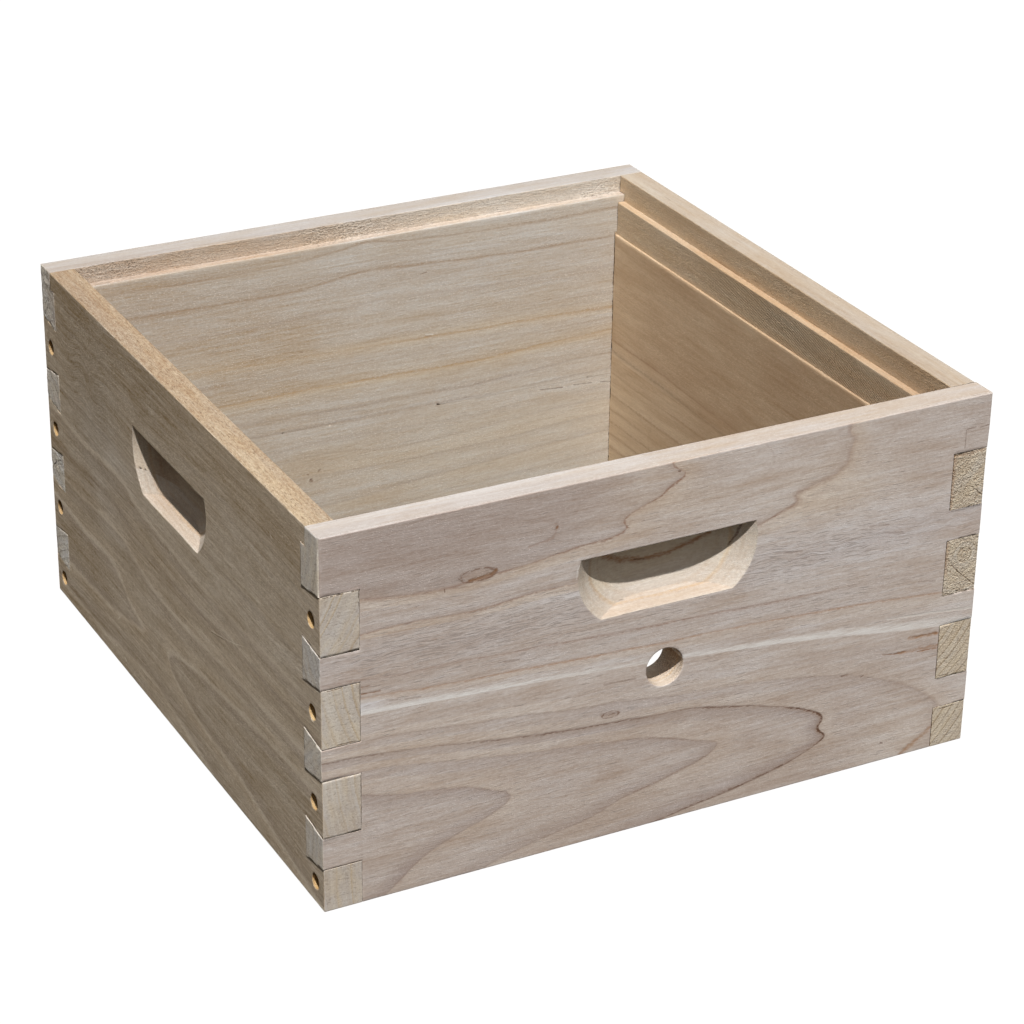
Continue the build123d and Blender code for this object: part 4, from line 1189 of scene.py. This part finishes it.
    # ---- end grain rings
    endring = np.zeros(nv)
    for end in (-1, 1):
        bands = END_RINGS[(board.wall, end)]
        here = (X < 230) == ((end < 0) if board.end_wall else (end > 0))
        mids = np.array([b[0] for b in bands], float)
        pick = np.argmin(np.abs(D[:, None] - mids[None, :]), axis=1)
        for i, (_, pa, pd, sp, torn) in enumerate(bands):
            sel = here & (pick == i)
            endring[sel] = np.hypot(W[sel] - pa, D[sel] - pd) / sp
            fuzz[sel] = torn
    if board.wall == "right":
        front_end = X > 420
        eye = np.hypot(W - 10.3, D - 111.3)
        crack += front_end * bell(eye, 0.6, 0.7) * 0.2
    if board.wall == "left":
        crack += (X > 420) * 0.2 * np.exp(-((W - 22.5) / 2.2) ** 2 - ((D - 74.5) / 1.6) ** 2)
    if board.wall == "back":
        lo_end = X < 40
        for split in ([(1, 30), (10, 24), (16, 20)], [(3, 36), (12, 27)], [(4, 150), (13, 143), (21, 139)]):
            crack += lo_end * 1.05 * bell(near_line(W, D, [tuple(map(float, q)) for q in split]), 0, 0.75)

    # ---- painted shade in the gaps where boards meet, strongest on the right-hand joints
    loose = np.where((co[:, 0] > 0) & (co[:, 1] < 0), 1.0, np.where(co[:, 0] > 0, 0.8, 0.12))
    loose = loose + 0.8 * ((co[:, 0] > 0) & (co[:, 1] > 0)) * bell(D, 88, 26)
    joint_shade += np.clip(s_contact, 0, 1) * (0.7 + 0.45 * loose) * (vnoise(P / 2.7, s + 5) * 0.9 + 0.4) * (1 + 0.6 * ((co[:, 0] > 0) & (co[:, 1] < 0)))
    if board.wall in ("left", "front"):
        joint_shade += 0.8 * bell(D, 37.6, 0.9) * (np.hypot(co[:, 0] + 230, co[:, 1] + 230) < 26) * smooth(0.35, 0.7, vnoise(P / 2.0, s + 6))

    # ---- displacement
    move = np.zeros((nv, 3))
    ragged = np.clip(vnoise(P / (3.4, 2.3, 9.0), s + 7) - 0.38, 0, 1) + 0.6 * np.clip(vnoise(P / (11, 8, 11), s + 8) - 0.5, 0, 1)
    gap = 0.05 + 0.72 * ragged * (0.12 + 1.78 * loose)
    seam_like = (np.abs(D - seam_depth(board.wall, X)) < 0.8) | (np.abs(co[:, u_ax]) < HX - T - 0.5)
    gap = np.where(seam_like, 0.0, gap)
    joint_shade = np.where(seam_like, 0.0, joint_shade)
    move -= unit * (gap * s_contact)[:, None]
    # small chips along eased edges
    edge_like = smooth(0.985, 0.90, bend) * (s_contact < 0.9) * (np.abs(D - seam_depth(board.wall, X)) > 0.2)
    chip = np.clip(vnoise(np.c_[X / 4.6, D / 3.2, W / 3.2], s + 9) - 0.66, 0, 1) / 0.34
    chip2 = np.clip(vnoise(np.c_[X / 15.0, D / 9, W / 9], s + 10) - 0.60, 0, 1) / 0.4
    move -= unit * (edge_like * (0.10 * vnoise(P / 2.2, s + 11) + 0.55 * chip * chip2 + 0.18 * chip))[:, None]
    # torn fibres in the rebates
    tear = vnoise(np.c_[X / 3.6, D / 0.9, W / 1.2], s + 13) * 0.6 + vnoise(np.c_[X / 9.0, D / 2.2, W / 2.2], s + 14) * 0.4
    rough_amp = {"front": 0.3, "back": 0.62, "left": 0.35, "right": 0.4}[board.wall]
    wallish = np.abs(unit[:, w_ax]) > 0.8
    move -= unit * (s_rebate * wallish * rough_amp * patch * (tear - 0.25))[:, None]
    # torn end grain
    pit = np.clip(vnoise(P / (1.7, 1.9, 1.9), s + 16) - 0.3, 0, 1)
    move -= unit * (s_end * fuzz * (s_contact == 0) * 0.35 * pit)[:, None]
    # a faint hand-planed unevenness
    flat = (bend > 0.995) & (s_contact == 0)
    move += unit * (flat * 0.05 * (vnoise(P / (30.0, 14.0, 30.0), s + 17) - 0.5))[:, None]
    # pins stand a little proud of the side walls
    if board.wall == "front":
        far = smooth(224.5, 229.5, np.abs(co[:, 0]))
        proud = np.where(co[:, 0] < 0, 0.42, 0.30 + 0.5 * smooth(40, 20, D))
        move[:, 0] += np.sign(co[:, 0]) * far * proud
    if board.wall == "back":
        far = smooth(226, 229.5, np.abs(co[:, 0]))
        move[:, 0] += np.sign(co[:, 0]) * far * (0.5 * (vnoise(P / (3.0, 3.5, 2.5), s + 19) - 0.35))
    if board.wall == "front":
        # the top left corner is rubbed round
        rr = 2.4 * smooth(38.5, 36.5, D)
        ca, cb = np.maximum(rr - (co[:, 0] + HX), 0), np.maximum(rr - (co[:, 1] + HY), 0)
        out = np.hypot(ca, cb)
        over = (ca > 0) & (cb > 0) & (out > rr) & (s_contact < 0.5)
        pull = np.where(over, (out - rr) / np.maximum(out, 1e-6), 0.0)
        move[:, 0] += ca * pull
        move[:, 1] += cb * pull
    co2 = (co + move) * MM
    me.vertices.foreach_set("co", co2.astype(np.float32).ravel())

    for name, arr in (("ring", ring), ("grad", grad), ("cring", cring), ("cgrad", cgrad), ("fv", fv), ("knot", knot),
                      ("tone", tone), ("warm", warm), ("pale", pale), ("joint_shade", joint_shade), ("crack", crack), ("dens", dens),
                      ("fuzz", fuzz), ("lstr", lstr), ("openend", openend), ("endring", endring), ("shade", shade), ("ribs", ribs), ("band", band), ("blur", blur)):
        me.attributes.new(name, "FLOAT", "POINT").data.foreach_set("value", arr.astype(np.float32))
    me.polygons.foreach_set("material_index", kind)

    for k in KINDS:
        p = dict(SETS[board.node][k])
        if k == "end":
            mat = end_grain(board.node + "_end", board.end_wall, seed=float(s), out=board.side, **p)
        else:
            mat = long_grain(board.node + "_" + k, board.end_wall, seed=float(s), **p)
        me.materials.append(mat)
    me.shade_smooth()
    me.set_sharp_from_angle(angle=math.radians(38))
    me.update()
    ob = bpy.data.objects.new(board.node + "_wood", me)
    SCENE.collection.objects.link(ob)
    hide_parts(board.node)
    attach(ob, "root")
    return ob


for b in BOARDS:
    make_board(b)

steel = screw_steel()
screws = NODES["corner_screws"]
screws.data.materials.clear()
screws.data.materials.append(steel)


# ------------------------------------------------------------------ camera, light, floor
def add(name, data):
    ob = bpy.data.objects.new(name, data)
    SCENE.collection.objects.link(ob)
    return ob


ROT = ((0.8871785721, -0.4612415452, 0.0130544308), (-0.1949976150, -0.4004105031, -0.8953476192),
       (0.4181986506, 0.7917876395, -0.4451766196))
EYE = (-0.84499655, -1.62656225, 1.02555243)
cam = add("camera", bpy.data.cameras.new("camera"))
cam.data.lens = 107.14
cam.data.sensor_width = 36.0
right, up, back = Vector(ROT[0]), -Vector(ROT[1]), -Vector(ROT[2])
cam.matrix_world = Matrix(((right.x, up.x, back.x, EYE[0]), (right.y, up.y, back.y, EYE[1]),
                           (right.z, up.z, back.z, EYE[2]), (0, 0, 0, 1)))
SCENE.camera = cam

key = add("key", bpy.data.lights.new("key", "SUN"))
key.data.energy = 4.3
key.data.angle = math.radians(1.6)
key.data.color = (1.0, 0.975, 0.94)
key.rotation_mode = "QUATERNION"
key.rotation_quaternion = Vector((0.21, 0.455, -1.0)).to_track_quat("-Z", "Y")

world = bpy.data.worlds.new("studio")
SCENE.world = world
world.use_nodes = True
wt = world.node_tree
bg = wt.nodes["Background"]
tcn = wt.nodes.new("ShaderNodeTexCoord")
sep = wt.nodes.new("ShaderNodeSeparateXYZ")
wt.links.new(tcn.outputs["Generated"], sep.inputs[0])
grad_ramp = wt.nodes.new("ShaderNodeValToRGB")
mapr = wt.nodes.new("ShaderNodeMapRange")
mapr.inputs["From Min"].default_value = -1.0
wt.links.new(sep.outputs[2], mapr.inputs["Value"])
# darker from the left, brighter from the front
lean = wt.nodes.new("ShaderNodeMath")
lean.operation = "MULTIPLY_ADD"
lean.inputs[1].default_value = 0.16
wt.links.new(sep.outputs[0], lean.inputs[0])
wt.links.new(mapr.outputs[0], lean.inputs[2])
lean2 = wt.nodes.new("ShaderNodeMath")
lean2.operation = "MULTIPLY_ADD"
lean2.inputs[1].default_value = -0.05
wt.links.new(sep.outputs[1], lean2.inputs[0])
wt.links.new(lean.outputs[0], lean2.inputs[2])
wt.links.new(lean2.outputs[0], grad_ramp.inputs[0])
grad_ramp.color_ramp.elements[0].position = 0.50
grad_ramp.color_ramp.elements[0].color = (0.030, 0.022, 0.014, 1)
grad_ramp.color_ramp.elements[1].position = 0.91
grad_ramp.color_ramp.elements[1].color = (0.47, 0.465, 0.455, 1)
wt.links.new(grad_ramp.outputs[0], bg.inputs["Color"])
bg.inputs["Strength"].default_value = 1.0
white = wt.nodes.new("ShaderNodeBackground")
white.inputs["Color"].default_value = (0.93, 0.93, 0.93, 1)
lp = wt.nodes.new("ShaderNodeLightPath")
mixs = wt.nodes.new("ShaderNodeMixShader")
wt.links.new(lp.outputs["Is Camera Ray"], mixs.inputs[0])
wt.links.new(bg.outputs[0], mixs.inputs[1])
wt.links.new(white.outputs[0], mixs.inputs[2])
wt.links.new(mixs.outputs[0], wt.nodes["World Output"].inputs["Surface"])

bm = bmesh.new()
bmesh.ops.create_circle(bm, cap_ends=True, radius=40.0, segments=64)
fm = bpy.data.meshes.new("floor")
bm.to_mesh(fm)
bm.free()
floor = add("floor", fm)
ft = Tree("floor")
ft.bsdf.inputs["Base Color"].default_value = (0.28, 0.28, 0.28, 1)
ft.bsdf.inputs["Roughness"].default_value = 0.9
ft.bsdf.inputs["Specular IOR Level"].default_value = 0.0
ft.bsdf.inputs["Emission Color"].default_value = (1, 1, 1, 1)
ft.bsdf.inputs["Emission Strength"].default_value = 0.62
fm.materials.append(ft.mat)
floor.visible_diffuse = False
floor.visible_glossy = False

SCENE.view_settings.view_transform = "Standard"
